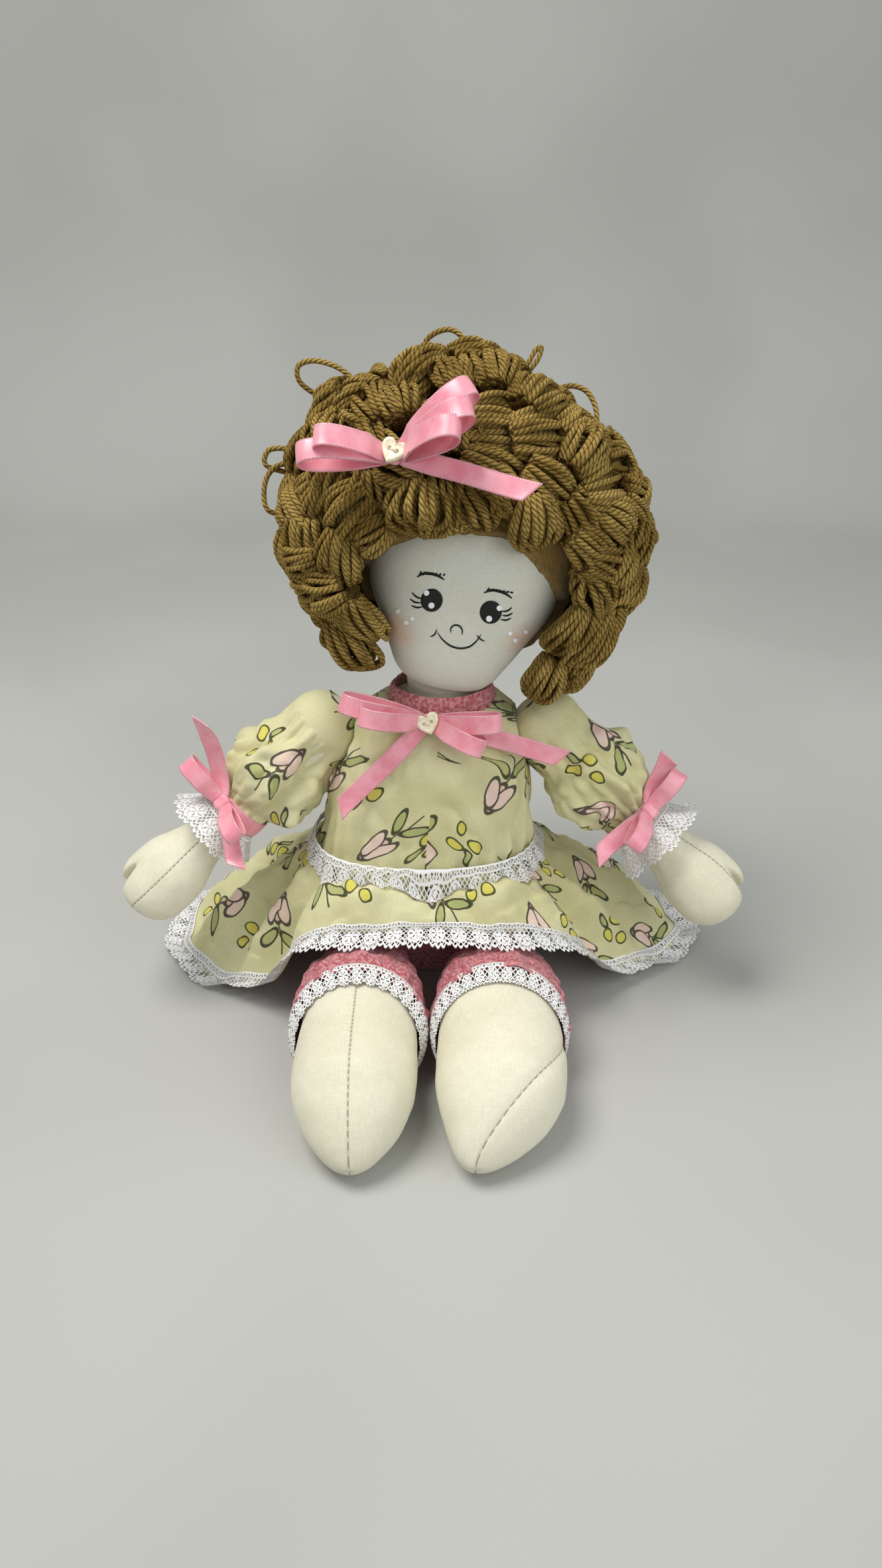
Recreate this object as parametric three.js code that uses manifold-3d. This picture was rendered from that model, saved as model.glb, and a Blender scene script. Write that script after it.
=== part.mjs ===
// A seated rag doll: stuffed cloth body, limbs and head, a gathered dress with lace,
// bloomers, a wig of yarn curls and ribbon bows with heart buttons.
// Millimetres, +Z up. The doll faces -Y and its own right hand is towards -X.
// The origin lies in the flat seat that the doll rests on, in its front half.

import * as THREE from 'three';
import { mergeVertices } from 'three/addons/utils/BufferGeometryUtils.js';
import Module from 'manifold-3d';

const wasm = await Module();
wasm.setup();

// Cloths, trims and the room between them
const seamGap = 0.4;
const dressCloth = 1.8;
const bloomerCloth = 1.8;
const laceCloth = 1;
const ribbonWidth = 9.5;
const ribbonCloth = 0.6;

// Stuffed body, from the seat to the neck hole
const bodyHeight = 166;
const bodyWidth = 116;
const bodyDepth = 84;
const bodyMiddleX = -6;
const bodyLeanWidth = 10;
const bodySwayDepth = 22;
const bodySquareness = 2.5;
const bodySides = 20;
const ballSides = 16;
// Each row: height, width, depth, sideways lean and sway of one section
const bodyRowShares = [
  [0.016, 0.72, 0.7, 0, 1],
  [0.072, 0.93, 0.9, 0, 1],
  [0.169, 1, 0.985, 0, 0.86],
  [0.271, 1, 1, 0, 0.64],
  [0.361, 0.985, 1, 0, 0.36],
  [0.506, 0.93, 0.83, 0, 0.23],
  [0.633, 0.88, 0.8, 0.22, 0.4],
  [0.753, 0.845, 0.76, 0.45, 0.52],
  [0.861, 0.79, 0.68, 0.68, 0.62],
  [0.93, 0.7, 0.62, 0.8, 0.64],
  [0.97, 0.56, 0.56, 0.88, 0.64],
  [1, 0.42, 0.49, 0.95, 0.64],
];

// Neck: a short stuffed roll with a round end in the body and one in the head
const neckRadius = 18;
const neckLength = 16;
const neckPlay = 1.4;
const neckSink = 6;
const neckSides = 16;

// Head, measured in its own upright frame above the top end of the neck
const headHeight = 117;
const headWidth = 97;
const headDepth = 76;
const headClear = 2;
const headShiftDepth = 6;
const headLeanDegrees = 12;
const headSquareness = 2.15;
const headSides = 22;
// Each row: height, width, depth and backward shift of one section
const headRowShares = [
  [0, 0.42, 0.48, -0.3],
  [0.035, 0.53, 0.62, -0.2],
  [0.1, 0.62, 0.73, 0],
  [0.24, 0.8, 0.86, 0.5],
  [0.4, 0.97, 0.96, 1],
  [0.53, 1, 1, 1],
  [0.68, 0.93, 0.96, 1],
  [0.82, 0.74, 0.8, 1],
  [0.93, 0.48, 0.54, 1],
  [0.985, 0.22, 0.25, 1],
];

// Arms, from the middle of the shoulder ball to the tip of the mitten hand
const armLength = 141;
const shoulderRadius = 19;
const shoulderDrop = 20;
const shoulderSinks = { right: 2.8, left: 5.8 };
const handWidth = 41;
const handDepth = 35;
const armSides = 16;
// Each row: distance, width and depth of one section, the ball's own rows left out
const armRowShares = [
  [0.09, 0.82, 0.97],
  [0.24, 0.72, 0.84],
  [0.4, 0.65, 0.76],
  [0.62, 0.62, 0.74],
  [0.7, 0.78, 0.86],
  [0.76, 0.94, 0.97],
  [0.83, 1, 1],
  [0.9, 0.97, 0.96],
  [0.955, 0.76, 0.78],
  [0.985, 0.45, 0.47],
];
const ballRowDegrees = [-76, -55, -32, -10, 14];
const thumbLength = 30;
const thumbWidth = 17;
const thumbSides = 10;
const thumbStartShare = 0.8;
const thumbOffsetShare = 0.37;
const thumbTiltDegrees = 15;
// The way from each shoulder to its hand: sideways, forward and down
const armReachShares = { right: [-0.73, -0.25, -0.63], left: [0.715, -0.275, -0.645] };

// Legs, from the hip seam to the toe tip, lying forward on the surface
const legLength = 124;
const legWidths = { right: 60, left: 63 };
const legDepth = 52;
const hipThickness = 24;
const hipMiddleX = -3;
const hipHeight = 30;
const thighGap = 1.2;
const hipGap = 0.1;
const toeDrop = 16;
const legSides = 20;
// Each row: distance, width, depth and drop of one section, the hip's own rows left out
const legRowShares = [
  [0.145, 0.84, 0.73, 0],
  [0.306, 0.93, 0.88, 0.05],
  [0.444, 0.97, 0.94, 0.08],
  [0.6, 1, 0.97, 0.09],
  [0.69, 1, 1, 0.18],
  [0.76, 0.98, 0.98, 0.22],
  [0.855, 0.85, 0.83, 0.44],
  [0.927, 0.61, 0.6, 0.69],
  [0.976, 0.33, 0.33, 0.9],
];
const hipRowDegrees = [-74, -48, -22, 0];
const hipWidthShares = [0.38, 0.54, 0.64, 0.7];
const toeTurns = { right: 0, left: -14 };
const toeTurnCurve = 1.6;

// Dress
const waistHeightShare = 0.506;
const necklineDrop = 0.2;
const sleeveWidth = 53;
const cuffRadiusShare = 0.78;
const sleeveLength = 71;
const sleevePushes = { right: 4, left: 0 };
const sleeveGathers = 8;
const gatherDepth = 1.1;
// Each row: distance along the sleeve and its fullness between cuff and puff
const sleeveRowShares = [
  [0.21, 0.38],
  [0.38, 0.92],
  [0.6, 1],
  [0.76, 0.42],
  [0.835, 0],
  [1, 0],
];
const cuffLaceWidth = 15;
const cuffLaceFlare = 9.5;
const cuffLaceWaves = 10;
const cuffLaceRipple = 1.6;
const cuffLaceRowShares = [0, 0.45, 1];
const collarRadius = 27;
const collarHeight = 5.3;
const collarFlare = 1.6;
const skirtFolds = 14;
const skirtFoldDepth = 3;
const skirtHemLift = 5;
const skirtPuff = 7;
const skirtHemRest = 1.6;
const skirtColumns = 56;
const skirtRows = 5;
const skirtReach = 150;
const skirtBackReach = 97;
const lapRoom = 4.3;
// Hem stations from the front round by the doll's right side: across, back and height
const hemStationShares = [
  [-0.03, -0.515, 1],
  [-0.23, -0.54, 0.99],
  [-0.43, -0.515, 0.9],
  [-0.61, -0.37, 0.24],
  [-0.82, -0.2, 0.03],
  [-1, 0.14, 0.03],
  [-0.92, 0.6, 0.03],
  [-0.5, 0.91, 0.03],
  [-0.03, 1, 0.03],
  [0.45, 0.91, 0.03],
  [0.86, 0.6, 0.03],
  [0.985, 0.27, 0.03],
  [0.87, 0.02, 0.03],
  [0.66, -0.18, 0.15],
  [0.43, -0.45, 0.83],
  [0.2, -0.54, 0.99],
];
const hemLaceWidth = 13;
const hemLaceDrop = 2;
const hemScallops = 36;
const hemScallopDepth = 2.2;
const waistLaceRise = 5.5;
const waistLaceDipShare = 0.8;

// Bloomers
const seatClothTopShare = 0.37;
const bloomerEase = 1;
const bloomerTopLength = 38;
const bloomerUnderLength = 70;
const bloomerGathers = 10;
const bloomerFoldDepth = 0.7;
const bloomerLaceWidth = 6;
// Each row: distance to the hem, width, depth and slant of one section below the hip's own
const bloomerRowShares = [
  [0.33, 0.88, 0.83, 0],
  [0.66, 0.97, 0.97, 0.6],
  [1, 1, 1, 1],
];

// Yarn wig
const wigCapThickness = 3;
const wigCapLowShare = 0.16;
const hairSideWidth = 46.5;
const hairBackDepth = 23;
const hairTopHeight = 33.5;
const hairShiftWidth = -6;
const hairSetBackDepth = 3;
const hairMiddleShare = 0.59;
const hairLeanDegrees = -13;
const curlLength = 60;
const curlWidth = 56;
const curlDepth = 52;
const curlLobes = 5;
const curlLobeShare = 0.08;
const curlSides = 10;
const curlRowDegrees = [-54, -18, 18, 54];
const faceOpeningWidthShare = 0.948;
const faceOpeningTopShare = 0.684;
const faceOpeningCornerShare = 0.326;

// Bows and buttons
const buttonWidth = 12;
const buttonThickness = 2.4;
const buttonHole = 1.5;
const buttonHoleSpacing = 3.6;
const knotWidth = 7;
const knotHeight = 9;
const knotDepth = 3.4;
const knotSides = 8;
const knotSquareness = 2.4;
const knotEndShare = 0.7;
const knotRowShares = [-1, -0.6, 0.6, 1];
const loopOpenShare = 0.3;
const loopSteps = 10;
const tailSteps = 4;
const tailStart = 6.4;
const tailPlay = 0.1;
const buttonRoomSides = 12;
// Loops: share of the loop length, turn in the bow's plane and swing out of it in degrees.
// Tails: share of the tail length, turn in degrees, and rise as a share of the length.
const neckBowSideWidth = -7;
const neckBowDrop = 1.4;
const neckBowTiltRoom = 0.1;
const neckBowNormal = [0, -0.97, 0.26];
const neckLoopLength = 44;
const neckTailLength = 68;
const neckLoopShares = { right: [[1.05, 161, 20], [0.89, 168, 34]], left: [[0.86, 8, 20], [0.73, -14, 32]] };
const neckTailShares = { right_tail: [0.94, 226, 0], left_tail: [1.03, -15, 0] };
const neckButtonTurn = 18;
const hairBowPlaceShares = [-0.41, -0.77, 0.467];
const hairBowNormal = [-0.3, -0.8, 0.55];
const hairLoopLength = 44;
const hairTailLength = 62;
const hairLoopShares = {
  right: [[0.95, 206, 20], [0.82, 198, 34]],
  left: [[1, 52, 20], [0.95, 36, 28], [0.86, 20, 36]],
};
const hairTailShares = { tail: [1, 3, 0] };
const hairButtonTurn = -8;
const hairBowPocketWidth = 112;
const hairBowPocketHeight = 46;
const cuffLoopLength = 27;
const cuffTailLength = 38;
const cuffLoopShares = { right: [[1.04, 178, 20], [0.96, -8, 20]], left: [[0.93, 10, 20], [1, 186, 20]] };
const cuffTailShares = {
  right: [[0.97, 140, 0.75], [0.92, -24, 0.05]],
  left: [[0.66, 36, 0.7], [1.03, 172, 0.05]],
};
// A heart's half outline from its tip to its dip, as curve points in half widths
const heartTipShare = -0.95;
const heartDipShare = 0.5;
const heartSideShares = [[0.5, -0.55], [1, -0.15], [1, 0.4]];
const heartTopShares = [[1, 0.95], [0.25, 1.05]];

const degrees = Math.PI / 180;
const fullTurn = 2 * Math.PI;
const front = -Math.PI / 2;

// Sizes and places that follow from those above
const neckFootHeight = bodyHeight - neckSink;
const necklineHeight = bodyHeight - necklineDrop;
const shoulderHeight = bodyHeight - shoulderDrop;
const waistHeight = waistHeightShare * bodyHeight;
const sleeveCuffRadius = cuffRadiusShare * handWidth / 2;
const bloomerLegWidth = legWidths.left + 2 * (seamGap + bloomerCloth + bloomerEase);
const bloomerLegDepth = legDepth + 2 * (seamGap + bloomerCloth + bloomerEase);
const hipSpacing = bloomerLegWidth + thighGap;
const tailSink = 2 * ribbonCloth + tailPlay;
const lapHeight = hipHeight + bloomerLegDepth / 2 + lapRoom;
const hairHalf = [
  headWidth / 2 + hairSideWidth, headDepth / 2 + hairBackDepth, headHeight / 2 + hairTopHeight];
const hairMiddle = [hairShiftWidth, headShiftDepth + hairSetBackDepth, headClear + hairMiddleShare * headHeight];

// Materials
function cloth(colour, roughness) {
  return new THREE.MeshStandardMaterial({ color: colour, roughness, metalness: 0 });
}
const muslin = cloth('#e6e4d5', 0.9);
const dressPrint = cloth('#c3c292', 0.85);
const roseCotton = cloth('#c9727e', 0.9);
const whiteLace = cloth('#edecea', 0.85);
const satin = cloth('#ee8a9a', 0.4);
const yarn = cloth('#8a6a35', 0.95);
const felt = cloth('#7b5d2c', 0.95);
const buttonCream = cloth('#efe6c4', 0.3);

// Geometry from rings of points. A ring is a list of points of one length.
function closedGeometry(points, triangles) {
  const positions = new Float32Array(points.flatMap((p) => [p.x, p.y, p.z]));
  const geometry = new THREE.BufferGeometry();
  geometry.setAttribute('position', new THREE.BufferAttribute(positions, 3));
  geometry.setIndex(facedOut(points, triangles));
  return geometry;
}

// Turns every triangle round when the surface encloses a negative volume.
function facedOut(points, triangles) {
  const cross = new THREE.Vector3();
  let volume = 0;
  for (let i = 0; i < triangles.length; i += 3) {
    const [a, b, c] = [points[triangles[i]], points[triangles[i + 1]], points[triangles[i + 2]]];
    volume += a.dot(cross.crossVectors(b, c));
  }
  return volume < 0 ? [...triangles].reverse() : triangles;
}

function bandTriangles(ringA, ringB, sides) {
  const triangles = [];
  for (let k = 0; k < sides; k += 1) {
    const next = (k + 1) % sides;
    triangles.push(ringA + k, ringA + next, ringB + next);
    triangles.push(ringA + k, ringB + next, ringB + k);
  }
  return triangles;
}

function middle(ring) {
  const sum = ring.reduce((total, p) => total.add(p), new THREE.Vector3());
  return sum.divideScalar(ring.length);
}

// A solid through rings, closed by a fan at each end; an end may come to a given tip.
function loft(rings, firstTip = middle(rings[0]), lastTip = middle(rings.at(-1))) {
  const sides = rings[0].length;
  const points = rings.flat();
  const triangles = [];
  for (let r = 0; r + 1 < rings.length; r += 1) {
    triangles.push(...bandTriangles(r * sides, (r + 1) * sides, sides));
  }
  const first = points.push(firstTip) - 1;
  const last = points.push(lastTip) - 1;
  const lastRing = (rings.length - 1) * sides;
  for (let k = 0; k < sides; k += 1) {
    const next = (k + 1) % sides;
    triangles.push(first, next, k);
    triangles.push(last, lastRing + k, lastRing + next);
  }
  return closedGeometry(points, triangles);
}

// A sleeve-like shell with two open ends: outer rings, then inner rings back again.
function shell(outerRings, innerRings) {
  const rings = [...outerRings, ...[...innerRings].reverse()];
  const sides = rings[0].length;
  const triangles = rings.flatMap((ring, r) =>
    bandTriangles(r * sides, ((r + 1) % rings.length) * sides, sides));
  return closedGeometry(rings.flat(), triangles);
}

// One point of a rounded-square outline of half sizes a and b.
function roundedPoint(angle, a, b, squareness) {
  const round = (value) => Math.sign(value) * Math.abs(value) ** (2 / squareness);
  return [a * round(Math.cos(angle)), b * round(Math.sin(angle))];
}

// Joining and cutting closed geometries
function toSolid(geometry) {
  const bare = geometry.clone();
  bare.deleteAttribute('normal');
  bare.deleteAttribute('uv');
  const merged = mergeVertices(bare);
  return new wasm.Manifold(new wasm.Mesh({
    numProp: 3,
    vertProperties: merged.attributes.position.array,
    triVerts: new Uint32Array(merged.index.array),
  }));
}

// The largest body of a solid, as a geometry: thin slivers of a cut are dropped.
function toGeometry(solid) {
  const bodies = solid.decompose();
  bodies.sort((a, b) => b.volume() - a.volume());
  const mesh = bodies[0].getMesh();
  const geometry = new THREE.BufferGeometry();
  geometry.setAttribute('position', new THREE.BufferAttribute(mesh.vertProperties, 3));
  geometry.setIndex(new THREE.BufferAttribute(mesh.triVerts, 1));
  return geometry;
}

function cutBy(geometry, cutters) {
  const solid = cutters.reduce((rest, cutter) => rest.subtract(toSolid(cutter)), toSolid(geometry));
  return toGeometry(solid);
}

function joined(geometries) {
  const [first, ...others] = geometries.map(toSolid);
  return toGeometry(others.reduce((whole, part) => whole.add(part), first));
}

// A faceted ball whose flats, not its corners, lie at the radius
function ball(centre, radius, sides) {
  const corner = radius / Math.cos(Math.PI / sides) ** 2;
  const geometry = new THREE.SphereGeometry(corner, sides, sides / 2);
  return geometry.translate(centre.x, centre.y, centre.z);
}

const doll = new THREE.Group();

function addMesh(name, geometry, material, parent = doll) {
  geometry.computeVertexNormals();
  const mesh = new THREE.Mesh(geometry, material);
  mesh.name = name;
  parent.add(mesh);
  return mesh;
}

// Body sections at any height, grown sideways by a cloth or a gap
function bodySection(height) {
  const share = height / bodyHeight;
  const rows = bodyRowShares;
  let index = rows.findIndex((row) => row[0] >= share);
  index = Math.max(1, index === -1 ? rows.length - 1 : index);
  const [below, above] = [rows[index - 1], rows[index]];
  const mix = (share - below[0]) / (above[0] - below[0]);
  return below.map((value, column) => value + mix * (above[column] - value));
}

function bodyPoint(angle, height, grow) {
  const [, width, depth, lean, sway] = bodySection(height);
  const halfWidth = width * bodyWidth / 2 + grow;
  const halfDepth = depth * bodyDepth / 2 + grow;
  const [x, y] = roundedPoint(angle, halfWidth, halfDepth, bodySquareness);
  return new THREE.Vector3(bodyMiddleX + lean * bodyLeanWidth + x, sway * bodySwayDepth + y, height);
}

// Angles run from the front, round by the doll's right side
function around(count) {
  return Array.from({ length: count }, (_, k) => front - k * fullTurn / count);
}

function bodyRing(height, grow) {
  return around(bodySides).map((angle) => bodyPoint(angle, height, grow));
}

function bodyHeightsBetween(low, high) {
  const inside = bodyRowShares.map((row) => row[0] * bodyHeight);
  return [low, ...inside.filter((z) => z > low && z < high), high];
}

// Arms: frames with their own Z along the arm and Y towards the upper front
const shoulders = {
  right: bodyPoint(Math.PI, shoulderHeight, shoulderRadius - shoulderSinks.right),
  left: bodyPoint(0, shoulderHeight, shoulderRadius - shoulderSinks.left),
};

function frameAlong(direction, upHint) {
  const along = direction.clone().normalize();
  const up = upHint.clone().addScaledVector(along, -upHint.dot(along)).normalize();
  const side = new THREE.Vector3().crossVectors(up, along);
  return new THREE.Quaternion().setFromRotationMatrix(
    new THREE.Matrix4().makeBasis(side, up, along));
}

const towardsViewer = new THREE.Vector3(0, -0.6, 0.8);
const armGroups = Object.fromEntries(['right', 'left'].map((side) => {
  const group = new THREE.Group();
  group.position.copy(shoulders[side]);
  group.quaternion.copy(frameAlong(new THREE.Vector3(...armReachShares[side]), towardsViewer));
  doll.add(group);
  return [side, group];
}));

function ovalRing(distance, halfWidth, halfDepth, sides) {
  return around(sides).map((angle) => new THREE.Vector3(
    halfWidth * Math.cos(angle), halfDepth * Math.sin(angle), distance));
}

function makeArm() {
  const ballRings = ballRowDegrees.map((row) => ovalRing(
    shoulderRadius * Math.sin(row * degrees),
    shoulderRadius * Math.cos(row * degrees),
    shoulderRadius * Math.cos(row * degrees),
    armSides));
  const limbRings = armRowShares.map(([distance, width, depth]) => ovalRing(
    distance * armLength, width * handWidth / 2, depth * handDepth / 2, armSides));
  const arm = loft(
    [...ballRings, ...limbRings],
    new THREE.Vector3(0, 0, -shoulderRadius),
    new THREE.Vector3(0, 0, armLength));
  const thumb = new THREE.SphereGeometry(thumbWidth / 2, thumbSides, thumbSides / 2);
  thumb.scale(1, 1, thumbLength / thumbWidth);
  thumb.rotateX(thumbTiltDegrees * degrees);
  thumb.translate(0, -thumbOffsetShare * handDepth, thumbStartShare * armLength + thumbLength / 2);
  return joined([arm, thumb]);
}

// Sleeves: a cup over the shoulder ball that swells and is gathered at the cuff
function sleeveRings(length, inset) {
  const cupRadius = shoulderRadius + seamGap + dressCloth - inset;
  const cup = ballRowDegrees.slice(1).map((row) => ovalRing(
    cupRadius * Math.sin(row * degrees),
    cupRadius * Math.cos(row * degrees),
    cupRadius * Math.cos(row * degrees),
    2 * sleeveGathers));
  const puffRadius = sleeveWidth / 2;
  const puff = sleeveRowShares.map(([distance, fullness]) => {
    const radius = sleeveCuffRadius + fullness * (puffRadius - sleeveCuffRadius) - inset;
    return around(2 * sleeveGathers).map((angle, k) => {
      const fold = radius + (k % 2 ? -1 : 1) * gatherDepth * fullness / 2;
      return new THREE.Vector3(
        fold * Math.cos(angle), fold * Math.sin(angle), distance * length);
    });
  });
  return [...cup, ...puff];
}

function makeCuffLace(sleeveEnd) {
  const waves = 2 * cuffLaceWaves;
  const start = sleeveEnd + seamGap;
  const rings = (inset) => cuffLaceRowShares.map((share) => around(waves).map((angle, k) => {
    const ripple = (k % 2 ? -1 : 1) * share * cuffLaceRipple;
    const radius = sleeveCuffRadius + share * cuffLaceFlare + ripple - inset;
    return new THREE.Vector3(
      radius * Math.cos(angle), radius * Math.sin(angle), start + share * cuffLaceWidth);
  }));
  return shell(rings(0), rings(laceCloth));
}

// Bows lie in their own frame: X and Y in the bow's plane, Z out of it.
// A strip of ribbon along a path, as wide across as the ribbon
function ribbonStrip(path, across) {
  const rings = path.map((point, k) => {
    const before = path[Math.max(0, k - 1)];
    const after = path[Math.min(path.length - 1, k + 1)];
    const along = after.clone().sub(before).normalize();
    const out = new THREE.Vector3().crossVectors(along, across).setLength(ribbonCloth / 2);
    const side = across.clone().setLength(ribbonWidth / 2);
    return [
      point.clone().add(side).add(out),
      point.clone().sub(side).add(out),
      point.clone().sub(side).sub(out),
      point.clone().add(side).sub(out),
    ];
  });
  return loft(rings);
}

// A loop leaves the knot, swings round and comes back beside itself.
function ribbonLoop([share, turn, swing], fullLength) {
  const length = share * fullLength;
  const bulge = length * loopOpenShare / 2;
  const path = Array.from({ length: loopSteps + 1 }, (_, k) => {
    const angle = Math.PI * k / loopSteps;
    const x = length * Math.sin(angle);
    const z = bulge * Math.sin(2 * angle) + ribbonCloth * Math.cos(angle);
    const lean = swing * degrees;
    return new THREE.Vector3(
      x * Math.cos(lean) - z * Math.sin(lean), 0, x * Math.sin(lean) + z * Math.cos(lean));
  });
  return ribbonStrip(path, new THREE.Vector3(0, 1, 0)).rotateZ(turn * degrees);
}

// A tail lies behind the loops in the bow's plane, rising a little towards its end.
function ribbonTail([share, turn, riseShare], fullLength) {
  const length = share * fullLength;
  const path = Array.from({ length: tailSteps + 1 }, (_, k) => {
    const x = tailStart + k / tailSteps * (length - tailStart);
    return new THREE.Vector3(x, 0, riseShare * length * (x / length) ** 2 - tailSink);
  });
  return ribbonStrip(path, new THREE.Vector3(0, 1, 0)).rotateZ(turn * degrees);
}

function makeKnot(grow) {
  const rings = knotRowShares.map((share) => around(knotSides).map((angle) => {
    const narrow = Math.abs(share) === 1 ? knotEndShare : 1;
    const halfWidth = knotWidth / 2 * narrow + grow;
    const halfDepth = knotDepth / 2 * narrow + grow;
    const [x, z] = roundedPoint(angle, halfWidth, halfDepth, knotSquareness);
    return new THREE.Vector3(x, share * (knotHeight / 2 + grow), z);
  }));
  return loft(rings);
}

// Ribbon pieces stop short of the knot and of the button on it.
function clearOfKnot(pieces) {
  const button = new THREE.CylinderGeometry(
    buttonWidth / 2 + 3 * seamGap, buttonWidth / 2 + 3 * seamGap, ribbonWidth, buttonRoomSides);
  button.rotateX(Math.PI / 2).translate(0, 0, knotDepth / 2 + ribbonWidth / 2);
  return cutBy(joined(pieces), [makeKnot(seamGap), button]);
}

function heartOutline(width) {
  const half = width / 2;
  const at = (points, side) => points.flatMap(([x, y]) => [side * x * half, y * half]);
  const [turnOut, wide, shoulder] = heartSideShares;
  const [over, inward] = heartTopShares;
  const shape = new THREE.Shape();
  shape.moveTo(0, heartTipShare * half);
  shape.bezierCurveTo(...at([turnOut, wide, shoulder], 1));
  shape.bezierCurveTo(...at([over, inward, [0, heartDipShare]], 1));
  shape.bezierCurveTo(...at([inward, over, shoulder], -1));
  shape.bezierCurveTo(...at([wide, turnOut, [0, heartTipShare]], -1));
  return shape;
}

function makeButton() {
  const outline = heartOutline(buttonWidth);
  for (const side of [-1, 1]) {
    const hole = new THREE.Path();
    hole.absarc(side * buttonHoleSpacing / 2, buttonHole / 4, buttonHole / 2, 0, fullTurn, true);
    outline.holes.push(hole);
  }
  return toGeometry(toSolid(new THREE.ExtrudeGeometry(outline, {
    depth: buttonThickness, bevelEnabled: false, curveSegments: 5 })));
}

// The stuffed torso
const neckFoot = middle(bodyRing(bodyHeight, 0)).setZ(neckFootHeight);
const neckTop = neckFoot.clone().setZ(neckFootHeight + neckLength);
const shoulderSeatRadius = shoulderRadius + dressCloth + 2 * seamGap;
const shoulderSeats = Object.values(shoulders).map((s) => ball(s, shoulderSeatRadius, ballSides));
const neckSeat = ball(neckFoot, neckRadius + seamGap, neckSides);
const neckMouth = ball(neckFoot.clone().setZ(bodyHeight), neckRadius + neckPlay, neckSides);

const torso = loft(bodyRowShares.map((row) => bodyRing(row[0] * bodyHeight, 0)));
addMesh('torso', cutBy(torso, [...shoulderSeats, neckSeat, neckMouth]), muslin);

// Neck: rings from the ball in the body to the ball in the head
const neckRows = [-80, -58, -34, -10];
const neckRing = (height, radius) => ovalRing(height, radius, radius, neckSides)
  .map((p) => p.add(new THREE.Vector3(neckFoot.x, neckFoot.y, 0)));
const lowerNeck = neckRows.map((row) => neckRing(
  neckFootHeight + neckRadius * Math.sin(row * degrees), neckRadius * Math.cos(row * degrees)));
const upperNeck = [...neckRows].reverse().map((row) => neckRing(
  neckTop.z - neckRadius * Math.sin(row * degrees), neckRadius * Math.cos(row * degrees)));
addMesh('neck', loft([...lowerNeck, ...upperNeck]), muslin);

// Head in its own leaning group
const headGroup = new THREE.Group();
headGroup.position.copy(neckTop);
headGroup.rotation.y = headLeanDegrees * degrees;
doll.add(headGroup);

function headSolid(grow) {
  const rings = headRowShares.map(([height, width, depth, shift]) => around(headSides).map((angle) => {
    const halfWidth = width * headWidth / 2 + grow;
    const halfDepth = depth * headDepth / 2 + grow;
    const [x, y] = roundedPoint(angle, halfWidth, halfDepth, headSquareness);
    return new THREE.Vector3(x, shift * headShiftDepth + y, headClear + height * headHeight);
  }));
  const top = new THREE.Vector3(0, headShiftDepth, headClear + headHeight + grow);
  const bottom = new THREE.Vector3(0, headRowShares[0][3] * headShiftDepth, headClear);
  return loft(rings, bottom, top);
}
const neckSocket = ball(new THREE.Vector3(), neckRadius + seamGap, neckSides);
addMesh('head', cutBy(headSolid(0), [neckSocket]), muslin, headGroup);

// Wig cap: a felted layer over the skull, open at the face and the neck
function faceOpening() {
  const half = faceOpeningWidthShare * headWidth / 2;
  const faceOpeningTop = faceOpeningTopShare * headHeight;
  const faceOpeningCorner = 2 * faceOpeningCornerShare * half;
  const shape = new THREE.Shape();
  shape.moveTo(-half, -headHeight);
  shape.lineTo(half, -headHeight);
  shape.lineTo(half, faceOpeningTop - faceOpeningCorner);
  shape.quadraticCurveTo(half, faceOpeningTop, half - faceOpeningCorner, faceOpeningTop);
  shape.lineTo(faceOpeningCorner - half, faceOpeningTop);
  shape.quadraticCurveTo(-half, faceOpeningTop, -half, faceOpeningTop - faceOpeningCorner);
  shape.closePath();
  const opening = new THREE.ExtrudeGeometry(shape, {
    depth: headDepth, bevelEnabled: false, curveSegments: 6 });
  return opening.rotateX(Math.PI / 2);
}
const underJaw = new THREE.BoxGeometry(2 * headWidth, 2 * headDepth, headHeight)
  .translate(0, 0, headClear + wigCapLowShare * headHeight - headHeight / 2);
const wigCap = cutBy(headSolid(wigCapThickness), [headSolid(seamGap), faceOpening(), underJaw]);
addMesh('wig_cap', wigCap, felt, headGroup);

// Bow frame: Z along the given normal, X level as the viewer sees it
function bowGroup(place, normal, parent) {
  const group = new THREE.Group();
  const out = new THREE.Vector3(...normal).normalize();
  const across = new THREE.Vector3().crossVectors(new THREE.Vector3(0, 0, 1), out).normalize();
  const up = new THREE.Vector3().crossVectors(out, across);
  group.position.set(...place);
  group.setRotationFromMatrix(new THREE.Matrix4().makeBasis(across, up, out));
  parent.add(group);
  return group;
}

// Yarn curls: bundles seated round the wig, each with its azimuth from the front towards
// the doll's left, its elevation, and its seat and size shares
const curlPlaces = [
  ['fringe_middle', 10, 33, 0.7, 0.84],
  ['fringe_right', -36, 33, 0.7, 0.86],
  ['fringe_left', 50, 30, 0.7, 0.92],
  ['crown_right', -74, 56, 0.7, 1],
  ['crown_left', 66, 50, 0.68, 0.96],
  ['crown_back', 180, 58, 0.7, 1.1],
  ['temple_right', -82, 20, 0.7, 1],
  ['temple_left', 84, 14, 0.72, 1.12],
  ['upper_back_right', -130, 28, 0.7, 1.1],
  ['upper_back_left', 130, 28, 0.7, 1.1],
  ['cheek_right', -80, -16, 0.72, 0.86],
  ['cheek_left', 84, -20, 0.7, 1.04],
  ['lower_back_right', -128, -20, 0.7, 1.1],
  ['lower_back_left', 128, -20, 0.7, 1.1],
  ['nape', 180, -4, 0.7, 1.15],
  ['shoulder_right', -62, -37, 0.84, 0.74],
  ['shoulder_left', 50, -44, 0.86, 0.78],
];

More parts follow.
